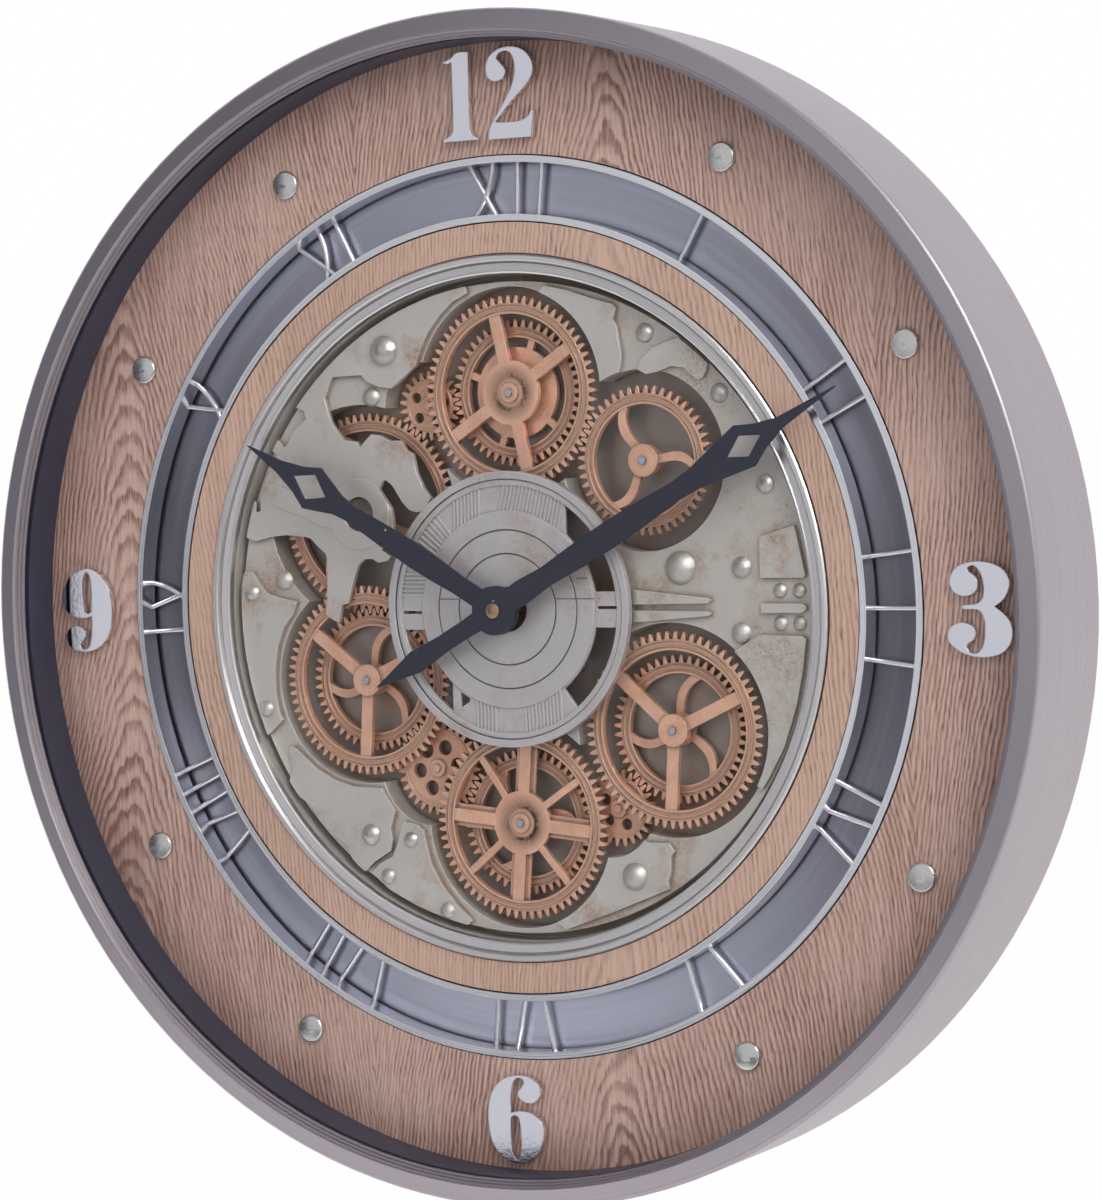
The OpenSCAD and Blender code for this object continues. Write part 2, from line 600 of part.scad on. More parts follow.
lower_left_shares = [[-139, -75], [-137, -72.5], [-134, -74], [-122, -84], [-110, -90],
  [-99, -93], [-82, -93.5], [-74, -105], [-77, -115], [-76, -120], [-77, -126], [-87, -132],
  [-94, -138], [-101, -131], [-105, -123], [-114, -118], [-120, -112], [-126, -103],
  [-135, -98], [-139, -91], [-137, -86]];
lower_island_shares = [[-70, -112], [-68, -110.5], [-61, -112], [-57, -115], [-53, -132],
  [-46, -144], [-37, -154], [-29, -160.5], [-32, -163], [-44, -161], [-64, -154], [-79, -146],
  [-89, -138], [-84, -133], [-76, -129], [-73, -122]];
left_shares = [[-167, 5], [-164, 19], [-159, 20], [-154, 13], [-149, 8], [-140, 5.5],
  [-131, 4], [-134, -3], [-140, -10], [-144, -20], [-146, -32], [-146, -45], [-144, -55],
  [-142, -58.5], [-151, -66.5], [-154, -67], [-159, -55], [-164, -40], [-167, -20]];
upper_left_arc = [-8, -50];
bridge_arc_share = 166;
eye_r = tip_r(n_pinion_a) / 2; // hole in the bridge over the upper left arbor
eye_ring_r = eye_r * 2.05; // raised ring round that hole
relief_h = plate_t * 0.18; // height of the ring and of the arm beside it
arm_shares = [[-145, 66.2], [-135.6, 63.4], [-124.4, 59.5], [-112, 57.7], [-105.3, 52.9],
  [-105.6, 42.4], [-115, 43.6], [-124.8, 48.5], [-135.4, 51.8], [-147.9, 56.2], [-149, 61]];

module recesses() {
  translate(top_at) circle(tip_r(n_large) + recess_gap);
  translate(upper_right_at) circle(tip_r(n_small) + recess_gap * 1.8);
  translate(pinion_a_at) circle(tip_r(n_pinion_a) + recess_gap);
  translate(upper_left_at) circle(tip_r(n_upper_left) + recess_gap);
  translate(left_at) circle(tip_r(n_large) + recess_gap);
  translate(pinion_b_at) circle(tip_r(n_pinion_b) + recess_gap);
  translate(bottom_at) circle(tip_r(n_large) + recess_gap);
  translate(pinion_c_at) circle(tip_r(n_pinion_c) + recess_gap);
  translate(lower_right_at) circle(tip_r(n_large) + recess_gap);
}

module plate(z, t) {
  color([0.68, 0.67, 0.64]) upright() translate([0, 0, z]) linear_extrude(t) children();
}

module within_plates() {
  intersection() {
    circle(plate_r);
    scale(plate_share) children();
  }
}

module plate_backing() {
  plate(floor_z, plate_z - floor_z) difference() {
    circle(plate_r);
    circle(disc_r - disc_rim_w * 2);
    recesses();
  }
}

module bridge_outline() {
  difference() {
    within_plates() polygon(concat(clock_arc(bridge_arc_share, upper_left_arc[0], upper_left_arc[1], 14),
      upper_left_shares));
    translate(upper_left_at) circle(eye_r);
  }
}

module plate_upper_left() {
  plate(plate_z, plate_t) bridge_outline();
  plate(plate_z, plate_t + relief_h) intersection() {
    bridge_outline();
    union() {
      translate(upper_left_at) circle(eye_ring_r);
      scale(plate_share) polygon(arm_shares);
    }
  }
}

module plate_top_right() {
  plate(plate_z, plate_t) {
    difference() {
      within_plates() polygon(top_right_shares);
      recesses();
    }
    within_plates() polygon(small_island_shares);
  }
}

module plate_right() {
  plate(plate_z, plate_t) {
    within_plates() polygon(right_upper_shares);
    within_plates() polygon(right_bar_shares);
    within_plates() polygon(upper_rail_shares);
    within_plates() polygon(lower_rail_shares);
    difference() {
      within_plates() polygon(right_lower_shares);
      recesses();
    }
  }
}

module plate_lower_right() {
  plate(plate_z, plate_t) difference() {
    within_plates() polygon(lower_right_shares);
    recesses();
  }
}

module plate_lower_left() {
  plate(plate_z, plate_t) {
    within_plates() polygon(lower_left_shares);
    within_plates() polygon(lower_island_shares);
  }
}

module plate_left() {
  plate(plate_z, plate_t) within_plates() polygon(left_shares);
}

// Rivets: place and radius in plate shares, on the plates and on the backing
plate_rivet_shares = [[-73, 133.5, 8], [66.5, -134.5, 7], [-89, -118, 5.5], [-64.5, -120, 4.2],
  [-79, -139.5, 4.2], [-43.5, -156, 4.2], [-159, 8.5, 4.5], [-152, -53, 4.3]];
backing_rivet_shares = [[95, 20, 8.5], [-82.6, 109.9, 5.2], [78.5, 137, 5], [119, 106, 5],
  [143, 61, 5], [129, 20, 5.5], [128, -12.3, 5.4], [-140, 15, 5.3], [149.5, 8.5, 3.8],
  [160, 8.5, 3.8], [149.5, -7.5, 3.8], [160, -7.5, 3.8]];
rivet_rise_share = 0.6;

module rivet_row(z, rows) {
  for (s = rows) translate([plate_share * s[0], plate_share * s[1], z])
    dome(plate_share * s[2], plate_share * s[2] * rivet_rise_share);
}

module rivets() {
  color([0.75, 0.75, 0.76]) upright() {
    rivet_row(plate_face_z, plate_rivet_shares);
    rivet_row(plate_z, backing_rivet_shares);
  }
}

// Pillars: from the back panel to the pan, the tray and the outer board, and from the
// floor of the pan to the centre disc
pillar_ring_share = 0.88;
board_pillar_share = 0.7;
disc_pillar_r = min(norm(left_at), norm(top_at)) - tip_r(n_large) - pillar_r - 2 * running_clearance
  - wheel_t;

module pillar_row(r, z, h, count, turn) {
  for (k = [0:count - 1]) translate(clock(r, turn + 360 * k / count))
    translate([0, 0, z]) cylinder(h = h, r = pillar_r);
}

module pillars() {
  color([0.55, 0.55, 0.57]) upright() {
    pillar_row(pan_r * pillar_ring_share, panel_t, drive_space, 6, 30);
    pillar_row((ring_in + ring_out) / 2, panel_t, tray_z - panel_t, 6, 30);
    pillar_row(outer_board_r + outer_board_w * board_pillar_share, panel_t, board_z - panel_t, 6, 15);
    pillar_row(disc_pillar_r, floor_z, disc_z - floor_z, 4, 45);
  }
}

// Centre disc

middle_r = disc_r * 0.715;
window_out = disc_r * 0.9;
window_in = disc_r * 0.725;
disc_rim_h = 2;
disc_step_h = 1.1;
line_w = 0.6;
line_shares = [0.575, 0.403];
right_window_x = disc_r * 0.49;
arm_top = disc_r * 0.125;
arm_low = disc_r * 0.131;
left_arm_top = disc_r * 0.1;
left_arm_low = disc_r * 0.15;
left_window_x = -disc_r * 0.485;
slot_w = 1.6;
slot_l = window_out - window_in - 2 * line_w;

module disc_windows() {
  intersection() {
    difference() {
      circle(window_out - line_w);
      circle(window_in);
    }
    union() {
      translate([right_window_x, arm_top]) square(disc_r);
      polygon([[arm_low * 0.78, -arm_low], [disc_r, -arm_low], [disc_r, -disc_r],
        clock(disc_r * 1.3, 142)]);
      translate([-disc_r, -left_arm_low - disc_r]) square([disc_r + left_window_x, disc_r]);
    }
  }
  translate([window_in + line_w, 0]) square([slot_l, slot_w]);
  translate([-window_in - line_w - slot_l, -slot_w * 1.5]) square([slot_l, slot_w]);
  scale(disc_r) polygon([[-0.42, -0.602], [-0.344, -0.647], [-0.344, -0.676], [-0.42, -0.717]]);
}

module rib_band() {
  intersection() {
    difference() {
      circle(window_out + line_w);
      circle(middle_r - line_w);
    }
    children();
  }
}

// Parallel ribs across the window band, in disc shares, leaning by an angle
module band_ribs(x_share, step_share, count, angle, low_share, high_share) {
  rib_band() for (k = [0:count - 1])
    translate([disc_r * (x_share + k * step_share), disc_r * low_share]) rotate(angle)
      square([disc_r * step_share / 2, disc_r * (high_share - low_share)]);
}

module disc_ribs() {
  band_ribs(-0.1, 0.032, 17, -14, 0.55, 0.95);
  band_ribs(-0.44, 0.03, 8, 0, 0.5, 0.95);
  band_ribs(0.125, 0.03, 11, 3, -0.95, -0.55);
  band_ribs(-0.285, 0.03, 6, 0, -0.95, -0.6);
  rib_band() for (k = [0:5]) translate([-disc_r, disc_r * (0.1 + 0.031 * k)])
    square([disc_r * 0.4, disc_r * 0.015]);
  rib_band() for (k = [0:10]) rotate(130 + 2.6 * k) translate([middle_r - line_w, 0])
    square([disc_r - middle_r, disc_r * 0.012]);
}

module centre_disc() {
  groove_t = disc_step_h / 2;
  color([0.72, 0.72, 0.72]) upright() translate([0, 0, disc_z]) difference() {
    union() {
      linear_extrude(disc_t - disc_step_h) difference() {
        circle(disc_r);
        disc_windows();
      }
      cylinder(h = disc_t, r = middle_r);
      linear_extrude(disc_t - disc_step_h / 2) disc_ribs();
      tube(disc_r, disc_r - disc_rim_w, disc_t + disc_rim_h - disc_step_h);
      tube(disc_r - disc_rim_w - line_w, window_out, disc_t);
    }
    for (s = line_shares) translate([0, 0, disc_t - groove_t])
      tube(disc_r * s + line_w / 2, disc_r * s - line_w / 2, disc_t);
    translate([0, 0, -over]) cylinder(h = disc_t + 2 * over, r = disc_hole_r);
  }
}

// Wheels

rim_w = 5.4;
bead_h = 0.35;
spoke_w = 6.5;
thin_spoke_w = 3.6;
spoke_flange_w = spoke_w * 1.75;
spoke_flange_t = wheel_t * 0.4;
sickle_w = 5;
hub_r = 8.2;
boss_h = 1.4;
core_r = arbor_r + 2.6;

module gear_outline(n, turn) {
  polygon([for (k = [0:n - 1]) for (s = tooth_shares)
    polar(pitch_r(n) + s[1] * tooth_module, turn + (k + s[0]) * 360 / n)]);
}

// Straight spokes at the given bearings, clockwise from the top
module spokes(r, bearings, w) {
  for (b = bearings) rotate(-b) translate([-w / 2, 0]) square([w, r]);
}

// Spoke that leaves the hub at bearing a and bends over by sweep on its way to the rim
module sickle(r_in, r_out, a, sweep, bow) {
  steps = 10;
  function mid(t) = a + sweep * t + bow * sin(180 * t);
  function at(t, side) = let (r = r_in + (r_out - r_in) * t)
    clock(r, mid(t) + side * sickle_w * (0.75 + 0.35 * t) / 2 / r * 180 / PI);
  polygon(concat([for (k = [0:steps]) at(k / steps, 1)], [for (k = [0:steps]) at(1 - k / steps, -1)]));
}

// Toothed rim with two raised beads on its face
module toothed_rim(n, turn) {
  linear_extrude(wheel_t) difference() {
    gear_outline(n, turn);
    circle(root_r(n) - rim_w);
  }
  tube(root_r(n) - rim_w * 0.1, root_r(n) - rim_w * 0.4, wheel_t + bead_h);
  tube(root_r(n) - rim_w * 0.6, root_r(n) - rim_w, wheel_t + bead_h);
}

module shaft_hole(h) {
  translate([0, 0, -over]) cylinder(h = h + 2 * over, r = arbor_r + fit_gap);
}

// Wheel of the front row: the hub's core reaches back to the rear wheel, and spokes may have
// a thin flange along their rear face
module front_wheel(at, n, turn, boss_r, flanged = []) {
  color([0.7, 0.47, 0.33]) upright() translate([at[0], at[1], front_z]) difference() {
    union() {
      toothed_rim(n, turn);
      linear_extrude(wheel_t) children();
      for (b = flanged) rotate(-b) translate([-spoke_flange_w / 2, 0, 0])
        cube([spoke_flange_w, root_r(n) - rim_w / 2, spoke_flange_t]);
      cylinder(h = wheel_t + boss_h, r = boss_r);
      translate([0, 0, -wheel_level_gap]) cylinder(h = wheel_level_gap + wheel_t, r = core_r);
    }
    translate([0, 0, -wheel_level_gap]) shaft_hole(wheel_level_gap + wheel_t + boss_h);
  }
}

module rear_wheel(at, n, turn, boss_r) {
  color([0.66, 0.44, 0.31]) upright() translate([at[0], at[1], rear_z]) difference() {
    union() {
      toothed_rim(n, turn);
      linear_extrude(wheel_t) children();
      cylinder(h = wheel_t, r = boss_r);
    }
    shaft_hole(wheel_t + boss_h);
  }
}

// Pinion cut on its own arbor, with a row of round holes: how many, and their radius and
// place as shares of the pitch radius
holes_a_shares = [5, 0.17, 0.545];
holes_b_shares = [6, 0.172, 0.49];
holes_c_shares = [5, 0.167, 0.5];

module pinion(at, n, turn, hole_shares) {
  color([0.66, 0.44, 0.31]) upright() {
    translate([at[0], at[1], rear_z]) difference() {
      union() {
        linear_extrude(wheel_t) gear_outline(n, turn);
        tube(root_r(n) - tooth_module * 0.6, root_r(n) - tooth_module * 1.2, wheel_t + bead_h);
        cylinder(h = wheel_t + boss_h, r = core_r);
      }
      for (k = [0:hole_shares[0] - 1]) rotate(8 + 360 * k / hole_shares[0])
        translate([pitch_r(n) * hole_shares[2], 0, -over])
          cylinder(h = wheel_t + 2 * over, r = pitch_r(n) * hole_shares[1]);
    }
    arbor_body(at, rear_z, pinion_end_z);
  }
}

// Steel arbor: a head behind the pan, a shoulder up to the first wheel and a free end in front
module arbor_body(at, wheel_z, end_z) {
  shoulder_z = floor_z + collar_h + running_clearance;
  head_h = arbor_r / 2;
  head_z = pan_back_z - head_h - running_clearance;
  translate([at[0], at[1], 0]) {
    translate([0, 0, head_z]) cylinder(h = end_z - head_z, r = arbor_r);
    translate([0, 0, head_z]) cylinder(h = head_h, r = arbor_r * 1.5);
    translate([0, 0, shoulder_z]) cylinder(h = wheel_z - shoulder_z, r = core_r);
  }
}

module arbor(at, wheel_z, end_z) {
  color([0.75, 0.75, 0.77]) upright() arbor_body(at, wheel_z, end_z);
}

arbor_tip = 1; // what an arbor stands out of its wheel
front_end_z = front_z + wheel_t + boss_h + arbor_tip;
pinion_end_z = rear_z + wheel_t + boss_h + arbor_tip;
front_rim_r = root_r(n_large) - rim_w / 2;
small_rim_r = root_r(n_small) - rim_w / 2;

module sickles(r_out, bearing, sweep, bow) {
  for (k = [0:2]) sickle(arbor_r + spoke_w / 2, r_out, bearing + 120 * k, sweep, bow);
}

module top_wheel_front() {
  front_wheel(top_at, n_large, 0, collar_r) {
    spokes(front_rim_r, [-12, 57.5, 168, 237.5], spoke_w);
    circle(hub_r * 2);
  }
}

module top_wheel_rear() {
  rear_wheel(top_at, n_small, 0, hub_r * 2.4) {
    spokes(small_rim_r, [20, 129, 200, 290], thin_spoke_w);
    circle(small_rim_r - rim_w * 1.4);
  }
}

module top_arbor() { arbor(top_at, rear_z, front_end_z); }

module upper_right_wheel() {
  front_wheel(upper_right_at, n_small, upper_right_turn, hub_r)
    sickles(small_rim_r, -30, 12, -12);
}

module upper_right_arbor() { arbor(upper_right_at, front_z - wheel_level_gap, front_end_z); }

module upper_left_pinion() {
  pinion(pinion_a_at, n_pinion_a, pinion_a_turn, holes_a_shares);
}

module upper_left_wheel() {
  rear_wheel(upper_left_at, n_upper_left, upper_left_turn, hub_r)
    sickles(root_r(n_upper_left) - rim_w / 2, 0, -26, 8);
}

module upper_left_arbor() {
  color([0.75, 0.75, 0.77]) upright() {
    arbor_body(upper_left_at, rear_z, plate_z);
    translate([upper_left_at[0], upper_left_at[1], plate_z])
      cylinder(h = plate_t / 2, r = eye_r - plate_gap);
  }
}

module left_wheel_front() {
  front_wheel(left_at, n_large, left_turn, hub_r)
    spokes(front_rim_r, [307, 184, 66], spoke_w);
}

module left_wheel_rear() {
  rear_wheel(left_at, n_small, left_turn, hub_r) sickles(small_rim_r, 0, 26, -8);
}

module left_arbor() { arbor(left_at, rear_z, front_end_z); }

module lower_left_pinion() {
  pinion(pinion_b_at, n_pinion_b, pinion_b_turn, holes_b_shares);
}

broad_spokes = [5, 95, 185, 275];

module bottom_wheel_front() {
  front_wheel(bottom_at, n_large, bottom_turn, collar_r, broad_spokes) {
    spokes(front_rim_r, broad_spokes, spoke_w);
    spokes(front_rim_r, [56, 139, 230, 325], thin_spoke_w);
    circle(hub_r * 2);
  }
}

module bottom_wheel_rear() {
  rear_wheel(bottom_at, n_small, bottom_turn, hub_r) sickles(small_rim_r, 70, 26, -8);
}

// The motor's socket holds the rear end of this arbor
module bottom_arbor() {
  color([0.75, 0.75, 0.77]) upright() {
    arbor_body(bottom_at, rear_z, front_end_z);
    translate([bottom_at[0], bottom_at[1], pan_back_z - drive_len])
      cylinder(h = drive_len, r = arbor_r);
  }
}

module lower_right_pinion() {
  pinion(pinion_c_at, n_pinion_c, pinion_c_turn, holes_c_shares);
}

module lower_right_wheel_front() {
  front_wheel(lower_right_at, n_large, lower_right_turn, hub_r)
    spokes(front_rim_r, [311, 184, 65], spoke_w);
}

module lower_right_wheel_rear() {
  rear_wheel(lower_right_at, n_small, lower_right_turn, hub_r) sickles(small_rim_r, 0, 26, -8);
}

module lower_right_arbor() { arbor(lower_right_at, rear_z, front_end_z); }

// Hands and their shafts

minute_r = 1.7;
pipe_t = 0.85;
pipe_r = minute_r + running_clearance + pipe_t;
bush_wall = 1.35;
bush_r = pipe_r + running_clearance + bush_wall;
cap_r = 3.8;
cap_h = 1.6;
seat_r = 5;

// Half outlines of the hands: place along the hand and half width, in shares of its length
minute_shares = [[-0.368, 0.001], [-0.245, 0.027], [-0.16, 0.021], [-0.09, 0.021], [0.09, 0.029],
  [0.16, 0.0236], [0.25, 0.0286], [0.364, 0.031], [0.43, 0.0286], [0.55, 0.022], [0.6, 0.025],
  [0.745, 0.052], [0.79, 0.03], [0.845, 0.0135], [1, 0.001]];
minute_hole_shares = [[0.695, 0], [0.743, 0.0264], [0.791, 0], [0.743, -0.0264]];
hour_shares = [[0, 0.03], [0.15, 0.03], [0.25, 0.036], [0.32, 0.038], [0.45, 0.033], [0.58, 0.026],
  [0.63, 0.032], [0.735, 0.07], [0.79, 0.043], [0.87, 0.02], [1, 0.001]];
hour_hole_shares = [[0.678, 0], [0.742, 0.042], [0.81, 0], [0.742, -0.042]];

module hand_outline(l, half_shares, hole_shares) {
  last = len(half_shares) - 1;
  difference() {
    polygon(l * concat(half_shares, [for (k = [0:last]) let (s = half_shares[last - k]) [s[0], -s[1]]]));
    polygon(l * hole_shares);
  }
}

module hand(z, l, angle, half_shares, hole_shares, bore_r) {
  translate([0, 0, z]) difference() {
    union() {
      linear_extrude(hand_t) rotate(90 - angle) hand_outline(l, half_shares, hole_shares);
      cylinder(h = hand_t, r = hand_hub_r);
    }
    translate([0, 0, -over]) cylinder(h = hand_t + 2 * over, r = bore_r);
  }
}

module minute_hand() {
  color([0.18, 0.18, 0.23]) upright()
    hand(minute_hand_z, minute_l, minute_angle, minute_shares, minute_hole_shares, minute_r + fit_gap);
}

module hour_hand() {
  color([0.18, 0.18, 0.23]) upright() {
    hand(hour_hand_z, hour_l, hour_angle, hour_shares, hour_hole_shares, pipe_r + fit_gap);
    translate([0, 0, hour_hand_z - hand_t]) tube(seat_r, pipe_r + fit_gap, hand_t);
  }
}

quartz_t = 16;
quartz_z = pan_back_z - quartz_t;
shaft_z = quartz_z + quartz_t / 3; // where the shafts start inside the movement
minute_end_z = minute_hand_z + hand_t;

module minute_arbor() {
  color([0.75, 0.6, 0.4]) upright() {
    translate([0, 0, shaft_z - hand_t]) cylinder(h = minute_end_z - shaft_z + hand_t, r = minute_r);
    translate([0, 0, minute_end_z]) cylinder(h = cap_h * 0.7, r = cap_r);
    translate([0, 0, minute_end_z + cap_h * 0.7]) dome(cap_r, cap_h * 0.6);
    translate([0, 0, shaft_z - 2 * hand_t]) cylinder(h = hand_t, r = minute_r * 2);
    translate([0, 0, minute_hand_z - hand_gap * 0.6])
      cylinder(h = hand_gap * 0.6, r = pipe_r);
  }
}

module hour_pipe() {
  color([0.7, 0.56, 0.36]) upright() {
    translate([0, 0, shaft_z])
      tube(pipe_r, minute_r + running_clearance, hour_hand_z + hand_t - shaft_z);
    translate([0, 0, shaft_z]) tube(pipe_r * 1.7, minute_r + running_clearance, hand_t);
    translate([0, 0, hour_hand_z - 2 * hand_t])
      tube(seat_r, minute_r + running_clearance, hand_t);
  }
}

bush_z = shaft_z + 2 * hand_t;
bush_end_z = disc_z + disc_t + disc_rim_h;
nut_r = 7;
nut_h = 3;

module centre_bush() {
  color([0.72, 0.6, 0.38]) upright() {
    translate([0, 0, bush_z]) tube(bush_r, pipe_r + running_clearance, bush_end_z - bush_z);
    translate([0, 0, bush_z]) tube(bush_r * 1.6, pipe_r + running_clearance, hand_t);
  }
}

module centre_nut() {
  color([0.7, 0.58, 0.36]) upright() translate([0, 0, floor_z]) difference() {
    cylinder(h = nut_h, r = nut_r, $fn = 6);
    translate([0, 0, -over]) cylinder(h = nut_h + 2 * over, r = bush_r + fit_gap);
  }
}

// Quartz movement, its cell and its setting knob

knob_r = 6.5;
knob_at = [0, -quartz_w * 0.3];
knob_z = panel_t * 0.2;
knob_h = panel_t * 0.7;
knob_pin_r = 1.5;
cell_gap = 0.3;
cell_cap_r = 2.7;
cell_cap_h = 1.2;
quartz_cell_at = [0, quartz_w * 0.32];
quartz_cell_z = quartz_z + cell_gap + cell_r;

module quartz_housing() {
  chamfer = quartz_w * 0.08;
  hollow = bush_r * 1.6 + cell_gap;
  knob_pin_top = quartz_z + quartz_t / 3 + over;
  color([0.12, 0.12, 0.13]) upright() difference() {
    translate([0, 0, quartz_z]) linear_extrude(quartz_t) difference() {
      square(quartz_w, center = true);
      for (k = [0:3]) rotate(90 * k) translate([quartz_w / 2, quartz_w / 2]) rotate(45)
        square([chamfer, 2 * chamfer], center = true);
    }
    translate([0, 0, shaft_z - 3 * hand_t]) cylinder(h = bush_z + 4 * hand_t - shaft_z, r = hollow);
    translate([0, 0, bush_z]) cylinder(h = quartz_t, r = bush_r + fit_gap);
    translate([quartz_cell_at[0] - cell_l / 2 - cell_gap - cell_cap_h,
      quartz_cell_at[1] - cell_r - cell_gap, quartz_z - over])
      cube([cell_l + 2 * cell_gap + cell_cap_h, 2 * (cell_r + cell_gap),
        2 * cell_r + 2 * cell_gap + over]);
    translate([knob_at[0], knob_at[1], quartz_z - over])
      cylinder(h = knob_pin_top - quartz_z + over, r = knob_pin_r + running_clearance);
  }
}

module time_set_knob() {
  color([0.85, 0.85, 0.83]) upright() translate([knob_at[0], knob_at[1], knob_z]) {
    difference() {
      cylinder(h = knob_h, r = knob_r);
      for (k = [0:11]) rotate(30 * k) translate([knob_r, 0, -over])
        cylinder(h = knob_h + 2 * over, r = knob_r * 0.13, $fn = 24);
    }
    cylinder(h = quartz_z + quartz_t / 3 - knob_z, r = knob_pin_r);
  }
}

module cell(at, z, side) {
  translate([at[0] - side * cell_l / 2, at[1], z]) rotate([0, side * 90, 0]) {
    cylinder(h = cell_l - cell_cap_h, r = cell_r);
    cylinder(h = cell_l, r = cell_cap_r);
  }
}

// Motor of the train, its battery box and its switch

motor_r = 12;
motor_t = 13;
motor_ear = 8;
drive_len = 9;
box_wall = 1.5;
box_at = [0, -(pan_r + pan_t + case_r) / 2 * 0.78];
box_w = cell_l + 2 * cell_gap + 2 * box_wall;
box_h = 4 * cell_r + 3 * cell_gap + 2 * box_wall;
box_z = panel_t * 0.4;
box_t = 2 * cell_r + 2 * cell_gap + box_wall;
box_flange = 3;
box_cell_z = box_z + cell_gap + cell_r;
switch_gap = 16;
switch_at = box_at + [box_w / 2 + switch_gap, 0];
switch_w = 6;
switch_l = 12;
switch_slot = 5;
switch_travel = 4;
switch_t = 4;

module gear_motor() {
  color([0.6, 0.6, 0.6]) upright() translate([bottom_at[0], bottom_at[1], pan_back_z - motor_t])
    difference() {
      union() {
        cylinder(h = motor_t, r = motor_r);
        translate([-motor_r - motor_ear, -motor_ear / 2, motor_t - box_wall])
          cube([2 * (motor_r + motor_ear), motor_ear, box_wall]);
      }
      translate([0, 0, motor_t - drive_len - over])
        cylinder(h = drive_len + 2 * over, r = arbor_r * 1.5 + cell_gap);
    }
}

module gear_battery_box() {
  color([0.15, 0.15, 0.16]) upright() {
    translate([box_at[0], box_at[1], 0]) difference() {
      union() {
        translate([-box_w / 2, -box_h / 2, box_z]) cube([box_w, box_h, box_t]);
        translate([-box_w / 2 - box_flange, -box_h / 2 - box_flange, panel_t])
          cube([box_w + 2 * box_flange, box_h + 2 * box_flange, box_wall]);
      }
      translate([-box_w / 2 + box_wall, -box_h / 2 + box_wall, box_z - over])
        cube([box_w - 2 * box_wall, box_h - 2 * box_wall, box_t - box_wall + over]);
    }
    translate([switch_at[0], switch_at[1], panel_t]) difference() {
      translate([-switch_l / 2 - box_wall, -switch_w / 2 - box_wall, 0])
        cube([switch_l + 2 * box_wall, switch_w + 2 * box_wall, switch_t + box_wall]);
      translate([-switch_l / 2, -switch_w / 2, -over]) cube([switch_l, switch_w, switch_t + over]);
    }
  }
}

module slide_switch() {
  body = switch_l - switch_travel - 2 * cell_gap;
  color([0.8, 0.1, 0.1]) upright() translate([switch_at[0] - switch_travel / 2, switch_at[1], 0]) {
    translate([-body / 2, -switch_w / 2 + cell_gap, panel_t + cell_gap])
      cube([body, switch_w - 2 * cell_gap, switch_t - 2 * cell_gap]);
    translate([-switch_slot / 2 + cell_gap, -switch_slot / 2 + cell_gap, panel_t * 0.2])
      cube([switch_slot - 2 * cell_gap, switch_slot - 2 * cell_gap, panel_t]);
  }
}

module aa_cells() {
  color([0.55, 0.45, 0.2]) upright() {
    cell(quartz_cell_at, quartz_cell_z, 1);
    cell(box_at + [0, cell_r + cell_gap / 2], box_cell_z, 1);
    cell(box_at - [0, cell_r + cell_gap / 2], box_cell_z, -1);
  }
}

// Back

ledge = 5; // width of the ledge that the service cover lies on
keyhole_at = [0, keyhole_up];
hanger_w = 60;
hanger_h = 44;
hanger_t = 1.5;
keyhole_run = 14;
hanger_hole_w = 18;
cover_screw_r = 1.2;

module screw_shape(r, head_r, head_h, l) {
  cylinder(h = head_h, r1 = head_r, r2 = r);
  cylinder(h = l, r = r);
}

module at_cover_screws() {
  for (k = [0:2]) rotate(-60 - 120 * k) translate([0, service_r + ledge / 2, 0]) children();
}

module back_panel() {
  color([0.3, 0.27, 0.25]) upright() difference() {
    cylinder(h = panel_t, r = board_out);
    translate([0, 0, -over]) cylinder(h = panel_t + 2 * over, r = service_r);
    translate([0, 0, -over]) cylinder(h = panel_t / 2 + over, r = service_r + ledge + cell_gap);
    at_cover_screws() translate([0, 0, -over])
      cylinder(h = panel_t + 2 * over, r = cover_screw_r + fit_gap);
    at_lugs() {
      translate([0, 0, -fit_gap])
        screw_shape(screw_r + fit_gap, screw_head_r + fit_gap, screw_head_h, panel_t + over);
      translate([0, 0, -over]) cylinder(h = over, r = screw_head_r + fit_gap);
    }
    translate([box_at[0] - box_w / 2 - cell_gap, box_at[1] - box_h / 2 - cell_gap, -over])
      cube([box_w + 2 * cell_gap, box_h + 2 * cell_gap, panel_t + 2 * over]);
    translate([switch_at[0] - (switch_slot + switch_travel) / 2, switch_at[1] - switch_slot / 2, -over])
      cube([switch_slot + switch_travel, switch_slot, panel_t + 2 * over]);
    translate([keyhole_at[0] - hanger_hole_w / 2, keyhole_at[1] - hanger_hole_w / 2, -over])
      cube([hanger_hole_w, hanger_hole_w + keyhole_run, panel_t + 2 * over]);
  }
}

module service_cover() {
  color([0.16, 0.16, 0.17]) upright() difference() {
    union() {
      cylinder(h = panel_t / 2, r = service_r + ledge);
      cylinder(h = panel_t, r = service_r - cell_gap);
    }
    translate([knob_at[0], knob_at[1], -over]) cylinder(h = panel_t + 2 * over, r = knob_r * 1.25);
    at_cover_screws() {
      translate([0, 0, -fit_gap]) screw_shape(cover_screw_r + fit_gap, cover_screw_r * 2 + fit_gap,
        panel_t * 0.4, panel_t);
      translate([0, 0, -over]) cylinder(h = over, r = cover_screw_r * 2 + fit_gap);
    }
  }
}

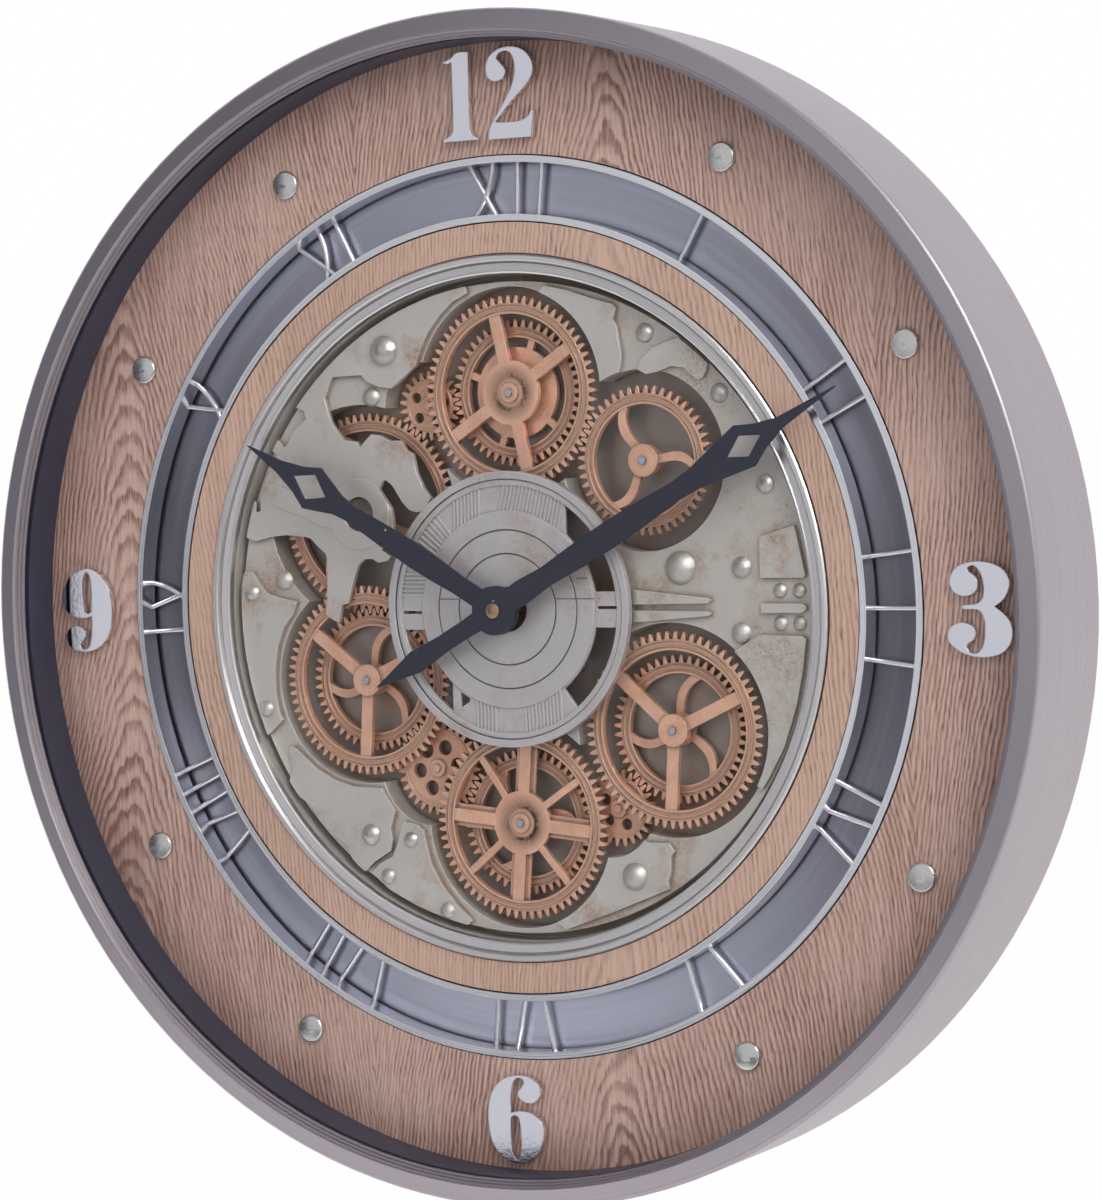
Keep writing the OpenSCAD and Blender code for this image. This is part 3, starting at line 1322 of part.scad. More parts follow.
module keyhole_hanger() {
  color([0.7, 0.7, 0.7]) upright() translate([keyhole_at[0], keyhole_at[1], panel_t])
    difference() {
      translate([-hanger_w / 2, -hanger_h / 2 + keyhole_run / 2, 0]) cube([hanger_w, hanger_h, hanger_t]);
      translate([0, 0, -over]) cylinder(h = hanger_t + 2 * over, r = keyhole_r);
      translate([-keyhole_slot_w / 2, 0, -over]) cube([keyhole_slot_w, keyhole_run, hanger_t + 2 * over]);
      translate([0, keyhole_run, -over]) cylinder(h = hanger_t + 2 * over, r = keyhole_slot_w / 2);
    }
}

module back_screws() {
  color([0.7, 0.7, 0.68]) upright() {
    at_lugs() screw_shape(screw_r, screw_head_r, screw_head_h, panel_t + lug_h - screw_point);
    at_cover_screws() screw_shape(cover_screw_r, cover_screw_r * 2, panel_t * 0.4, panel_t);
  }
}

case_ring();
inner_liner();
front_glass();
glass_gasket();
dial_outer();
numeral_12();
numeral_3();
numeral_6();
numeral_9();
hour_studs();
roman_ring();
channel_tray();
dial_inner();
movement_bezel();
base_pan();
plate_upper_left();
plate_top_right();
plate_right();
plate_lower_right();
plate_lower_left();
plate_left();
plate_backing();
pillars();
rivets();
centre_disc();
top_wheel_front();
top_wheel_rear();
top_arbor();
upper_right_wheel();
upper_right_arbor();
upper_left_pinion();
upper_left_wheel();
upper_left_arbor();
left_wheel_front();
left_wheel_rear();
left_arbor();
lower_left_pinion();
bottom_wheel_front();
bottom_wheel_rear();
bottom_arbor();
lower_right_pinion();
lower_right_wheel_front();
lower_right_wheel_rear();
lower_right_arbor();
minute_hand();
hour_hand();
minute_arbor();
hour_pipe();
centre_bush();
centre_nut();
quartz_housing();
time_set_knob();
aa_cells();
gear_motor();
gear_battery_box();
slide_switch();
back_panel();
service_cover();
keyhole_hanger();
back_screws();
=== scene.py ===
"""Gear wall clock: finishes, light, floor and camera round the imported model.

Everything is in metres, in the frame of the model: origin on the hands' axis in the wall
plane, face towards -Y, +X right, +Z up.
"""

import json
import math

import bpy
from mathutils import Matrix, Vector


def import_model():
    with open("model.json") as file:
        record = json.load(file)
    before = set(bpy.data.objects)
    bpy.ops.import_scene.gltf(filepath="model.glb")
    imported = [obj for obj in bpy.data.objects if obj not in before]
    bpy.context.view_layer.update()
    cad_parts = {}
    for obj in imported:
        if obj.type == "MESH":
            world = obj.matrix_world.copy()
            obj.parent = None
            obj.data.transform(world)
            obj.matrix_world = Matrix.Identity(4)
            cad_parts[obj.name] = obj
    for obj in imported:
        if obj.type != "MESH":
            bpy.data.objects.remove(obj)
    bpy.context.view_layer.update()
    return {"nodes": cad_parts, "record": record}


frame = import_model()
nodes = frame["nodes"]

MM = 0.001

# Height of the dial's face above the wall
DIAL_Y = -45 * MM

# Wheel axes in millimetres, right and up from the hands' axis
WHEEL_CENTRES = {
    "top": (0, 109.95),
    "upper_right": (75.88, 73.919),
    "upper_left_pinion": (-52.25, 104.834),
    "upper_left_wheel": (-90.906, 49.499),
    "left": (-90.45, -37.5),
    "lower_left": (-52.958, -83.379),
    "bottom": (0, -109.95),
    "lower_right_pinion": (53.36, -101.662),
    "lower_right_wheel": (88.95, -61.05),
}


# Node trees

NOISE_MIDDLE = (0.35, 0.65)


class Tree:
    """Short calls that add shader nodes and join them."""

    def __init__(self, tree):
        self.tree = tree

    def add(self, kind, inputs=None, **settings):
        node = self.tree.nodes.new("ShaderNode" + kind)
        for name, value in settings.items():
            setattr(node, name, value)
        for key, value in (inputs or {}).items():
            self.feed(node.inputs[key], value)
        return node

    def feed(self, socket, value):
        if isinstance(value, bpy.types.NodeSocket):
            self.tree.links.new(value, socket)
        elif value is not None:
            socket.default_value = value

    def math(self, operation, *values, clamp=False):
        node = self.add("Math", operation=operation, use_clamp=clamp)
        for socket, value in zip(node.inputs, values):
            self.feed(socket, value)
        return node.outputs[0]

    def product(self, first, *others):
        for value in others:
            first = self.math("MULTIPLY", first, value)
        return first

    def vector(self, operation, *values, scale=None):
        node = self.add("VectorMath", operation=operation)
        for socket, value in zip(node.inputs, values):
            self.feed(socket, value)
        if scale is not None:
            self.feed(node.inputs["Scale"], scale)
        return node.outputs["Value" if operation in ("LENGTH", "DOT_PRODUCT") else "Vector"]

    def split(self, vector):
        return self.add("SeparateXYZ", {"Vector": vector}).outputs

    def join(self, x, y, z):
        return self.add("CombineXYZ", {"X": x, "Y": y, "Z": z}).outputs["Vector"]

    def radius(self, point):
        """Distance of a point from the hands' axis."""
        return self.vector("LENGTH", self.vector("MULTIPLY", point, (1.0, 0.0, 1.0)))

    def noise(self, vector, scale, detail=3.0, rough=0.5):
        return self.add("TexNoise", {"Vector": vector, "Scale": scale, "Detail": detail,
                                     "Roughness": rough}).outputs[0]

    def grain(self, point, across, along, detail, rough=0.5):
        """Noise whose spots are drawn out up the veneer; across and along count them a metre."""
        return self.noise(self.vector("MULTIPLY", point, (across, 0.0, along)), 1.0, detail, rough)

    def span(self, value, low, high, to_low=0.0, to_high=1.0, smooth=False):
        """The value's way from low to high, held at both ends."""
        node = self.add("MapRange", {"Value": value, "From Min": low, "From Max": high,
                                     "To Min": to_low, "To Max": to_high}, clamp=True)
        if smooth:
            node.interpolation_type = "SMOOTHSTEP"
        return node.outputs["Result"]

    def spread(self, noise, low=0.0, high=1.0):
        """Takes the middle of a noise's range, where most of it lies, to low and high."""
        return self.span(noise, *NOISE_MIDDLE, low, high)

    def mix(self, share, first, second, blend="MIX"):
        node = self.add("Mix", data_type="RGBA", blend_type=blend)
        for index, value in ((0, share), (6, first), (7, second)):
            self.feed(node.inputs[index], value)
        return node.outputs[2]

    def use(self, group, **inputs):
        node = self.tree.nodes.new("ShaderNodeGroup")
        node.node_tree = group
        for name, value in inputs.items():
            self.feed(node.inputs[name.replace("_", " ").capitalize()], value)
        return node.outputs


KINDS = {"value": "NodeSocketFloat", "colour": "NodeSocketColor", "vector": "NodeSocketVector"}


def effect(name, inputs, outputs, build):
    """A shader node group with named sockets; build(tree, inputs) returns the outputs' values."""
    group = bpy.data.node_groups.new(name, "ShaderNodeTree")
    for direction, sockets in (("INPUT", inputs), ("OUTPUT", outputs)):
        for label, kind in sockets.items():
            group.interface.new_socket(name=label, in_out=direction, socket_type=KINDS[kind])
    tree = Tree(group)
    source = group.nodes.new("NodeGroupInput")
    sink = group.nodes.new("NodeGroupOutput")
    for label, value in zip(outputs, build(tree, source.outputs)):
        tree.feed(sink.inputs[label], value)
    return group


def srgb(red, green, blue):
    """Linear colour of an sRGB one given as 0 to 255."""
    def linear(value):
        value /= 255
        return value / 12.92 if value <= 0.04045 else ((value + 0.055) / 1.055) ** 2.4
    return (linear(red), linear(green), linear(blue), 1.0)


def shaded(colour, share):
    return tuple(c * share for c in colour[:3]) + (1,)


# Effects that several finishes share

EDGE_SAMPLES = 3
# How far the rounded normal leans where an edge begins to wear and take its painted highlight, and
# where it is bare and fully bright
EDGE_LEAN = (0.004, 0.12)
# Openness below which a place is all corner, and above which it is none
CORNER_OPENNESS = (0.35, 0.95)


# Edge drives wear and a painted highlight on edges; Corner feeds stains and, in some finishes,
# painted shade
def build_edges(tree, source):
    normal = tree.add("NewGeometry").outputs["Normal"]
    bevel = tree.add("Bevel", {"Radius": source["Reach"]}, samples=EDGE_SAMPLES).outputs["Normal"]
    lean = tree.math("SUBTRACT", 1.0, tree.vector("DOT_PRODUCT", bevel, normal))
    openness = tree.add("AmbientOcclusion", {"Distance": source["Depth"]},
                        samples=EDGE_SAMPLES).outputs["AO"]
    return tree.span(lean, *EDGE_LEAN), tree.span(openness, *CORNER_OPENNESS, 1.0, 0.0), bevel


EDGES = effect("Worn edges with painted highlights, and dark corners", {"Reach": "value", "Depth": "value"},
               {"Edge": "value", "Corner": "value", "Soft": "vector"}, build_edges)


def build_scribe(tree, source):
    away = tree.math("ABSOLUTE", tree.math("SUBTRACT", source["Radius"], source["At"]))
    return (tree.span(away, 0.0, source["Width"], 1.0, 0.0),)


SCRIBE = effect("Scribed circle", {"Radius": "value", "At": "value", "Width": "value"},
                {"Line": "value"}, build_scribe)


def build_turned(tree, source):
    x, y, z = tree.split(tree.vector("SUBTRACT", source["Vector"], source["Centre"]))
    flat = tree.join(x, 0.0, z)
    radius = tree.vector("LENGTH", flat)
    around = tree.vector("SCALE", tree.vector("NORMALIZE", flat), scale=source["Spread"])
    around_x, _, around_z = tree.split(around)
    across = tree.math("MULTIPLY", radius, source["Fineness"])
    along = tree.math("MULTIPLY", y, source["Fineness"])
    point = tree.join(across, around_x, tree.math("ADD", around_z, along))
    return tree.noise(point, 1.0, rough=0.6), radius


TURNED = effect("Turned streaks",
                {"Vector": "vector", "Centre": "vector", "Fineness": "value", "Spread": "value"},
                {"Streak": "value", "Radius": "value"}, build_turned)

# How much finer than the broad clouds of grime its small clouds and its grains are
SMALL_CLOUDS = 14.0
GRIME_GRAINS = 60.0
BROAD_SHARE = 0.6
# Tones between which a cloud sets in, and values of noise between which a grain does
CLOUD_RANGE = (0.42, 0.62)
GRAIN_RANGE = (0.6, 0.72)


def build_grime(tree, source):
    def layer(finer, detail, rough):
        scale = tree.math("MULTIPLY", source["Scale"], finer)
        return tree.noise(source["Vector"], scale, detail, rough)
    broad = tree.noise(source["Vector"], source["Scale"], detail=4.0, rough=0.6)
    fine = layer(SMALL_CLOUDS, detail=3.0, rough=0.65)
    tone = tree.math("ADD", tree.math("MULTIPLY", broad, BROAD_SHARE),
                     tree.math("MULTIPLY", fine, 1 - BROAD_SHARE))
    grains = layer(GRIME_GRAINS, detail=1.0, rough=0.5)
    return tree.span(tone, *CLOUD_RANGE), tree.span(grains, *GRAIN_RANGE), tone


GRIME = effect("Cloudy grime", {"Vector": "vector", "Scale": "value"},
               {"Cloud": "value", "Grains": "value", "Tone": "value"}, build_grime)

# Radius of a speck where it is solid, and where it ends, as shares of the specks' spacing
SPECK_RADII = (0.05, 0.13)


def build_dust(tree, source):
    cells = tree.add("TexVoronoi", {"Vector": source["Vector"], "Scale": source["Scale"],
                                    "Randomness": 1.0})
    pick = tree.split(cells.outputs["Color"])
    near = tree.span(cells.outputs["Distance"], *SPECK_RADII, 1.0, 0.0)
    return (tree.math("MULTIPLY", near, tree.math("LESS_THAN", pick[0], source["Share"])),)


DUST = effect("Dust specks", {"Vector": "vector", "Scale": "value", "Share": "value"},
              {"Speck": "value"}, build_dust)

# Figure of the veneer: rings across a leaf, how far they wander sideways in metres, how
# far they ripple in rings, and what rounds the crown of an arch
RINGS_A_METRE = 400.0
RING_WANDER = 0.06
RING_RIPPLE = 2.6
ARCH_CROWN = 0.0005
# Shares of a ring in which its late wood darkens, and in which it ends
LATE_WOOD = (0.25, 0.8)
LATE_WOOD_END = (0.86, 1.0)
# Values of noise between which a pore opens, and share of the pores in the early wood
PORE_RANGE = (0.52, 0.66)
EARLY_PORES = 0.25
# Radii between which a painted shadow of the case darkens the veneer towards it, and by how much
CASE_SHADOW = (262 * MM, 288 * MM)
CASE_SHADOW_DEPTH = 0.35
# What the late wood, the fibres, the streaks and the blotches add to the tone, from the
# light colour at 0 to the dark one at 1, and how far a pore reaches its own colour
LATE_TONE = 0.8
FIBRE_TONE = (-0.14, 0.18)
STREAK_TONE = (-0.14, 0.2)
BLOTCH_TONE = (0.0, 0.2)
PORE_SHARE = 0.8
# Roughness of the light wood and of the dark
WOOD_ROUGH = (0.6, 0.48)


def build_timber(tree, source):
    x, _, z = tree.split(tree.vector("ADD", source["Vector"], source["Offset"]))
    flat = tree.join(x, 0.0, z)
    wander = tree.math("SUBTRACT", tree.grain(flat, across=5.0, along=2.2, detail=2.0), 0.5)
    ripple = tree.grain(flat, across=60.0, along=26.0, detail=4.0, rough=0.6)
    moved = tree.math("ADD", x, tree.math("MULTIPLY", wander, RING_WANDER))
    leaf = tree.math("PINGPONG", moved, source["Leaf"])
    root = tree.math("SQRT", tree.math("ADD", tree.math("MULTIPLY", leaf, leaf), ARCH_CROWN))
    rings = tree.math("ADD", tree.math("MULTIPLY", root, RINGS_A_METRE),
                      tree.math("MULTIPLY", z, source["Rise"]))
    rings = tree.math("ADD", rings, tree.math("MULTIPLY", ripple, RING_RIPPLE))
    phase = tree.math("FRACT", rings)
    strength = tree.spread(tree.noise(flat, scale=17.0, detail=2.0), 0.45, 1.0)
    late = tree.product(tree.span(phase, *LATE_WOOD, smooth=True),
                        tree.span(phase, *LATE_WOOD_END, 1.0, 0.0), strength)
    pore = tree.grain(flat, across=1500.0, along=120.0, detail=1.5)
    pores = tree.math("MULTIPLY", tree.span(pore, *PORE_RANGE),
                      tree.span(late, 0.1, 0.8, EARLY_PORES, 1.0))
    fibre = tree.grain(flat, across=2300.0, along=90.0, detail=2.0, rough=0.6)
    streak = tree.grain(flat, across=420.0, along=7.0, detail=2.0)
    blotch = tree.grain(flat, across=16.0, along=6.0, detail=2.0)
    tone = tree.math("MULTIPLY", late, LATE_TONE)
    tone = tree.math("ADD", tone, tree.span(fibre, 0.3, 0.7, *FIBRE_TONE))
    tone = tree.math("ADD", tone, tree.spread(streak, *STREAK_TONE))
    tone = tree.math("ADD", tone, tree.spread(blotch, *BLOTCH_TONE))
    # Painted shadow of the case on the veneer
    shadow = tree.span(source["Radius"], *CASE_SHADOW, 0.0, CASE_SHADOW_DEPTH)
    tone = tree.math("ADD", tone, shadow, clamp=True)
    colour = tree.mix(tone, source["Light"], source["Dark"])
    colour = tree.mix(tree.math("MULTIPLY", pores, PORE_SHARE), colour, source["Pore"])
    height = tree.math("SUBTRACT", tree.math("MULTIPLY", fibre, 0.35), pores)
    return colour, tree.span(tone, 0.0, 1.0, *WOOD_ROUGH), height


TIMBER = effect("Open grained timber",
                {"Vector": "vector", "Offset": "vector", "Leaf": "value", "Radius": "value",
                 "Rise": "value", "Light": "colour", "Dark": "colour", "Pore": "colour"},
                {"Colour": "colour", "Roughness": "value", "Height": "value"}, build_timber)


# Finishes


def finish(name, build):
    """A material whose build(tree) returns the Principled shader's inputs."""
    material = bpy.data.materials.new(name)
    material.use_nodes = True
    material.node_tree.nodes.clear()
    tree = Tree(material.node_tree)
    tree.place = tree.add("TexCoord").outputs["Object"]
    shader = tree.add("BsdfPrincipled", build(tree))
    tree.add("OutputMaterial", {"Surface": shader.outputs[0]})
    return material


def bump(tree, height, depth, normal=None):
    inputs = {"Height": height, "Distance": depth, "Strength": 1.0}
    if normal is not None:
        inputs["Normal"] = normal
    return tree.add("Bump", inputs).outputs["Normal"]


def timber(name, light, dark, pore, offset, leaf, rise):
    """Veneer whose arches stand every two leaves; offset moves the figure, rise sets how
    steep the arches are. A painted shadow of the case darkens it a little towards the case."""
    def build(tree):
        grain = tree.use(TIMBER, vector=tree.place, offset=offset, leaf=leaf,
                         radius=tree.radius(tree.place), rise=rise, light=light, dark=dark,
                         pore=pore)
        return {"Base Color": grain["Colour"], "Roughness": grain["Roughness"],
                "Specular IOR Level": 0.35, "Normal": bump(tree, grain["Height"], 0.12 * MM)}
    return finish(name, build)


# How dark the painted shade in a corner is against the deep tone of its metal
PAINTED_CORNER_TONE = 0.3
# How much more painted sheen the brushing gets below the axis than above it
LOW_SHEEN_LIFT = 0.32
# Half the range of streak noise that full streaks take from the deep to the pale tone
STREAK_HALF = 0.2


def painted_brushing_sheen(tree, height, radius, upright):
    """Painted sheen standing in for the light that brushing round the axis gives back: upright of
    it left and right of the axis, all of it above, and some more below."""
    lift = tree.math("DIVIDE", height, radius)
    lift = tree.math("MULTIPLY", lift, lift)
    light = tree.math("ADD", tree.math("MULTIPLY", lift, 1.0 - upright), upright)
    low = tree.math("MULTIPLY", tree.math("LESS_THAN", height, 0.0), LOW_SHEEN_LIFT)
    return tree.math("MULTIPLY", light, tree.math("ADD", 1.0, tree.math("MULTIPLY", lift, low)))


def brushed(name, pale, deep, rough, fineness, spread, edge=0.6 * MM, streaks=1.0, corner=0.5,
            upright=None):
    """Metal turned or brushed round the hands' axis, with painted shade in its corners. Where
    upright is given, a painted sheen takes its colour down to that share left and right of the
    axis."""
    def build(tree):
        turned = tree.use(TURNED, vector=tree.place, centre=(0, 0, 0), fineness=fineness,
                          spread=spread)
        grime = tree.use(GRIME, vector=tree.place, scale=9.0)
        half = STREAK_HALF / streaks
        streak = tree.span(turned["Streak"], 0.5 - half, 0.5 + half)
        edges_and_corners = tree.use(EDGES, reach=edge, depth=4 * MM)
        colour = tree.mix(streak, deep, pale)
        if upright is not None:
            # Painted sheen: the colour is darkened at the sides of the axis and lightened below it
            light = painted_brushing_sheen(tree, tree.split(tree.place)[2], turned["Radius"], upright)
            colour = tree.mix(1.0, colour, tree.join(light, light, light), blend="MULTIPLY")
        # Painted shade in the corners
        colour = tree.mix(tree.math("MULTIPLY", edges_and_corners["Corner"], corner), colour,
                          shaded(deep, PAINTED_CORNER_TONE))
        roughness = tree.math("ADD", tree.span(streak, 0.0, 1.0, rough + 0.07, rough - 0.05),
                              tree.math("MULTIPLY", grime["Tone"], 0.12))
        return {"Base Color": colour, "Metallic": 1.0, "Roughness": roughness,
                "Normal": bump(tree, streak, 0.03 * MM, edges_and_corners["Soft"])}
    return finish(name, build)


OCHRE = srgb(158, 124, 94)
PAINTED_CORNER_SHADE = srgb(66, 55, 50)
RUST = srgb(104, 70, 50)
ENGRAVED = srgb(58, 54, 54)
WORN_AND_HIGHLIGHT_SILVER = srgb(240, 238, 236)
ENGRAVED_WIDTH = 0.7 * MM
TICK_WIDTH = 0.6 * MM
WALL_SOFTNESS = 0.4 * MM
SILVER_METALLIC = 0.5
SILVER_ROUGH = 0.42
# Values of noise between which a patch of stain sets in, and tones between which it closes
PATCH_RANGE = (0.5, 0.66)
UNBROKEN_RANGE = (0.42, 0.56)
# How strong the stain is on open patches against the corners, and where clouds break it
PATCH_SHARE = 0.75
BROKEN_SHARE = 0.12
# Depths of corner between which the painted shade over the stain sets in
PAINTED_SHADE_RANGE = (0.55, 1.0)


def aged_silver(name, pale, deep, stain=1.0, lines=(), brushing=0.0, depth=3.5 * MM, wall=None,
                ticks=()):
    """Silvered resin or sheet: cloudy tone, ochre stain in the corners with painted shade in the
    deepest of them, bright edges from wear and a painted highlight, circles engraved at the radii
    in lines, and level lines in ticks, each given by its height and its ends. wall is a radius,
    and the pale colour painted outside it, as light on a wall that sits in shadow."""
    def build(tree):
        grime = tree.use(GRIME, vector=tree.place, scale=22.0)
        edges_and_corners = tree.use(EDGES, reach=0.8 * MM, depth=depth)
        colour = tree.mix(grime["Tone"], deep, pale)
        if lines:
            turned = tree.use(TURNED, vector=tree.place, centre=(0, 0, 0), fineness=1300.0,
                              spread=3.0)
            streak = tree.math("MULTIPLY", tree.spread(turned["Streak"]), brushing)
            colour = tree.mix(streak, colour, shaded(deep, 0.8))
        patch = tree.noise(tree.place, scale=30.0, detail=5.0, rough=0.62)
        patches = tree.span(patch, *PATCH_RANGE)
        broken = tree.span(grime["Tone"], *UNBROKEN_RANGE, BROKEN_SHARE, 1.0)
        stained = tree.math("MAXIMUM", tree.math("POWER", edges_and_corners["Corner"], 0.8),
                            tree.math("MULTIPLY", patches, PATCH_SHARE))
        stained = tree.math("MULTIPLY", stained, broken)
        colour = tree.mix(tree.math("MULTIPLY", stained, stain), colour, OCHRE)
        # Painted shade in the deepest corners
        deepest = tree.span(edges_and_corners["Corner"], *PAINTED_SHADE_RANGE)
        colour = tree.mix(tree.math("MULTIPLY", deepest, 0.7), colour, PAINTED_CORNER_SHADE)
        rust = tree.product(grime["Grains"], tree.math("MAXIMUM", edges_and_corners["Corner"], patches), stain)
        colour = tree.mix(rust, colour, RUST)
        # Bright edges: wear together with a painted highlight
        colour = tree.mix(tree.math("MULTIPLY", edges_and_corners["Edge"], 0.9), colour, WORN_AND_HIGHLIGHT_SILVER)
        if wall is not None:
            # Painted light: a pale colour outside the radius lifts a wall that sits in shadow
            radius, painted_light_colour = wall
            outside = tree.span(tree.radius(tree.place), radius, radius + WALL_SOFTNESS)
            colour = tree.mix(outside, colour, painted_light_colour)
        for radius in lines:
            line = tree.use(SCRIBE, radius=turned["Radius"], at=radius, width=ENGRAVED_WIDTH)
            colour = tree.mix(tree.math("MULTIPLY", line["Line"], 0.85), colour, ENGRAVED)
        for level, start, end in ticks:
            x, _, z = tree.split(tree.place)
            away = tree.math("ABSOLUTE", tree.math("SUBTRACT", z, level))
            line = tree.product(tree.span(away, 0.0, TICK_WIDTH, 1.0, 0.0),
                                tree.math("GREATER_THAN", x, start),
                                tree.math("LESS_THAN", x, end), 0.8)
            colour = tree.mix(line, colour, ENGRAVED)
        clouded = tree.spread(grime["Tone"], SILVER_ROUGH - 0.06, SILVER_ROUGH + 0.08)
        roughness = tree.math("ADD", clouded, tree.math("MULTIPLY", stained, 0.2))
        height = tree.math("ADD", grime["Tone"], tree.math("MULTIPLY", grime["Grains"], 0.3))
        return {"Base Color": colour,
                "Metallic": tree.span(stained, 0.0, 1.0, SILVER_METALLIC, SILVER_METALLIC * 0.35),
                "Roughness": roughness, "Normal": bump(tree, height, 0.06 * MM, edges_and_corners["Soft"])}
    return finish(name, build)


COPPER_PALE = srgb(255, 205, 177)
COPPER_DEEP = srgb(224, 172, 145)
COPPER_DARK = srgb(38, 22, 17)
COPPER_EDGE_HIGHLIGHT = srgb(255, 218, 194)
RIM_LINE_WIDTH = 1.1 * MM
# Radii between which the smudge round a boss sets in, and between which it ends
SMUDGE_START = (6.2 * MM, 7.8 * MM)
SMUDGE_END = (8.5 * MM, 15.5 * MM)
# Tones between which pale copper takes over from deep, and between which clouds break the
# dark of smudge and lines
PALE_RANGE = (0.36, 0.64)
SMUDGE_RANGE = (0.42, 0.58)
# Roughness and metallic of rubbed copper, and of its dark
COPPER_ROUGH = (0.34, 0.6)
COPPER_METALLIC = (0.62, 0.25)
# Share of the speckle that open faces keep
OPEN_SPECKLE = 0.3


def copper(name, centre, smudge=0.0, tone=1.0, lines=()):
    """Rubbed copper: pale where it is touched, dark brown in its corners, along the scribed
    circles of its rim and, as far as smudge says, round its boss."""
    def build(tree):
        at = (centre[0] * MM, 0, centre[1] * MM)
        grime = tree.use(GRIME, vector=tree.place, scale=60.0)
        edges_and_corners = tree.use(EDGES, reach=0.6 * MM, depth=3 * MM)
        turned = tree.use(TURNED, vector=tree.place, centre=at, fineness=2500.0, spread=4.0)
        deep = shaded(COPPER_DEEP, tone)
        colour = tree.mix(tree.span(grime["Tone"], *PALE_RANGE), deep, shaded(COPPER_PALE, tone))
        colour = tree.mix(tree.math("MULTIPLY", turned["Streak"], 0.25), colour, deep)
        broken = tree.span(grime["Tone"], *SMUDGE_RANGE, 0.5, 1.0)
        ring = tree.product(tree.span(turned["Radius"], *SMUDGE_START),
                            tree.span(turned["Radius"], *SMUDGE_END, 1.0, 0.0), broken, smudge)
        shade = tree.math("MAXIMUM", tree.math("MULTIPLY", edges_and_corners["Corner"], 1.1, clamp=True), ring)
        for radius in lines:
            line = tree.use(SCRIBE, radius=turned["Radius"], at=radius, width=RIM_LINE_WIDTH)
            shade = tree.math("MAXIMUM", shade, tree.product(line["Line"], broken, 0.9))
        near_corners = tree.math("MULTIPLY", grime["Grains"],
                                 tree.math("MAXIMUM", edges_and_corners["Corner"], OPEN_SPECKLE))
        speckle = tree.math("MULTIPLY", near_corners, 1.2, clamp=True)
        shade = tree.math("MAXIMUM", shade, speckle)
        colour = tree.mix(shade, colour, COPPER_DARK)
        # Bright edges: wear together with a painted highlight
        colour = tree.mix(tree.math("MULTIPLY", edges_and_corners["Edge"], 0.8), colour,
                          shaded(COPPER_EDGE_HIGHLIGHT, tone))
        roughness = tree.math("ADD", tree.span(shade, 0.0, 1.0, *COPPER_ROUGH),
                              tree.spread(grime["Tone"], -0.04, 0.06))
        height = tree.math("SUBTRACT", grime["Tone"], tree.math("MULTIPLY", grime["Grains"], 0.4))
        return {"Base Color": colour, "Metallic": tree.span(shade, 0.0, 1.0, *COPPER_METALLIC),
                "Roughness": roughness, "Normal": bump(tree, height, 0.07 * MM, edges_and_corners["Soft"])}
    return finish(name, build)


def polished(name, pale, deep, rough, edge=0.3 * MM):
    """Plated metal with faint smears and painted shade in its corners."""
    def build(tree):
        grime = tree.use(GRIME, vector=tree.place, scale=35.0)
        edges_and_corners = tree.use(EDGES, reach=edge, depth=1.8 * MM)
        colour = tree.mix(grime["Tone"], deep, pale)
        # Painted shade in the corners
        colour = tree.mix(tree.math("MULTIPLY", edges_and_corners["Corner"], 0.45), colour,
                          shaded(deep, PAINTED_CORNER_TONE))
        return {"Base Color": colour, "Metallic": 1.0,
                "Roughness": tree.spread(grime["Tone"], rough * 0.7, rough * 1.5),
                "Normal": bump(tree, grime["Tone"], 0.01 * MM, edges_and_corners["Soft"])}
    return finish(name, build)


DUST_COLOUR = srgb(200, 198, 200)
# How light an edge's wear and painted highlight are against the pale tone of its paint
EDGE_WEAR_AND_HIGHLIGHT_TONE = 1.6


def coated(name, pale, deep, rough, dust=0.0, tooth=0.02 * MM, scale=40.0, specular=0.5):
    """Paint, plastic or rubber with a fine tooth and a little dust."""
    def build(tree):
        grime = tree.use(GRIME, vector=tree.place, scale=scale)
        edges_and_corners = tree.use(EDGES, reach=0.6 * MM, depth=3 * MM)
        specks = tree.use(DUST, vector=tree.place, scale=170.0, share=dust)
        colour = tree.mix(grime["Tone"], deep, pale)
        # Lighter edges: wear together with a painted highlight
        colour = tree.mix(tree.math("MULTIPLY", edges_and_corners["Edge"], 0.25), colour,
                          shaded(pale, EDGE_WEAR_AND_HIGHLIGHT_TONE))
        colour = tree.mix(specks["Speck"], colour, DUST_COLOUR)
        roughness = tree.math("ADD", tree.spread(grime["Tone"], rough - 0.05, rough + 0.07),
                              tree.math("MULTIPLY", specks["Speck"], 0.3))
        return {"Base Color": colour, "Metallic": 0.0, "Roughness": roughness,
                "Specular IOR Level": specular,
                "Normal": bump(tree, grime["Tone"], tooth, edges_and_corners["Soft"])}
    return finish(name, build)


BOARD_DARK = srgb(66, 54, 46)
BOARD_LIGHT = srgb(112, 92, 76)
BOARD_STAIN = srgb(58, 48, 42)
# Values of noise between which the felt's fibres rise
FELT_RANGE = (0.4, 0.7)


def fibreboard(name):
    """Pressed board with a felted, mottled face."""
    def build(tree):
        def fibres(*spots):
            point = tree.vector("MULTIPLY", tree.place, spots)
            return tree.noise(point, scale=1.0, detail=4.0, rough=0.7)
        felt = tree.math("MAXIMUM", fibres(420.0, 420.0, 90.0), fibres(90.0, 420.0, 420.0))
        grime = tree.use(GRIME, vector=tree.place, scale=12.0)
        colour = tree.mix(tree.span(felt, *FELT_RANGE), BOARD_DARK, BOARD_LIGHT)
        colour = tree.mix(tree.math("MULTIPLY", grime["Cloud"], 0.3), colour, BOARD_STAIN)
        return {"Base Color": colour, "Roughness": tree.span(felt, *FELT_RANGE, 0.85, 0.68),
                "Normal": bump(tree, felt, 0.25 * MM)}
    return finish(name, build)


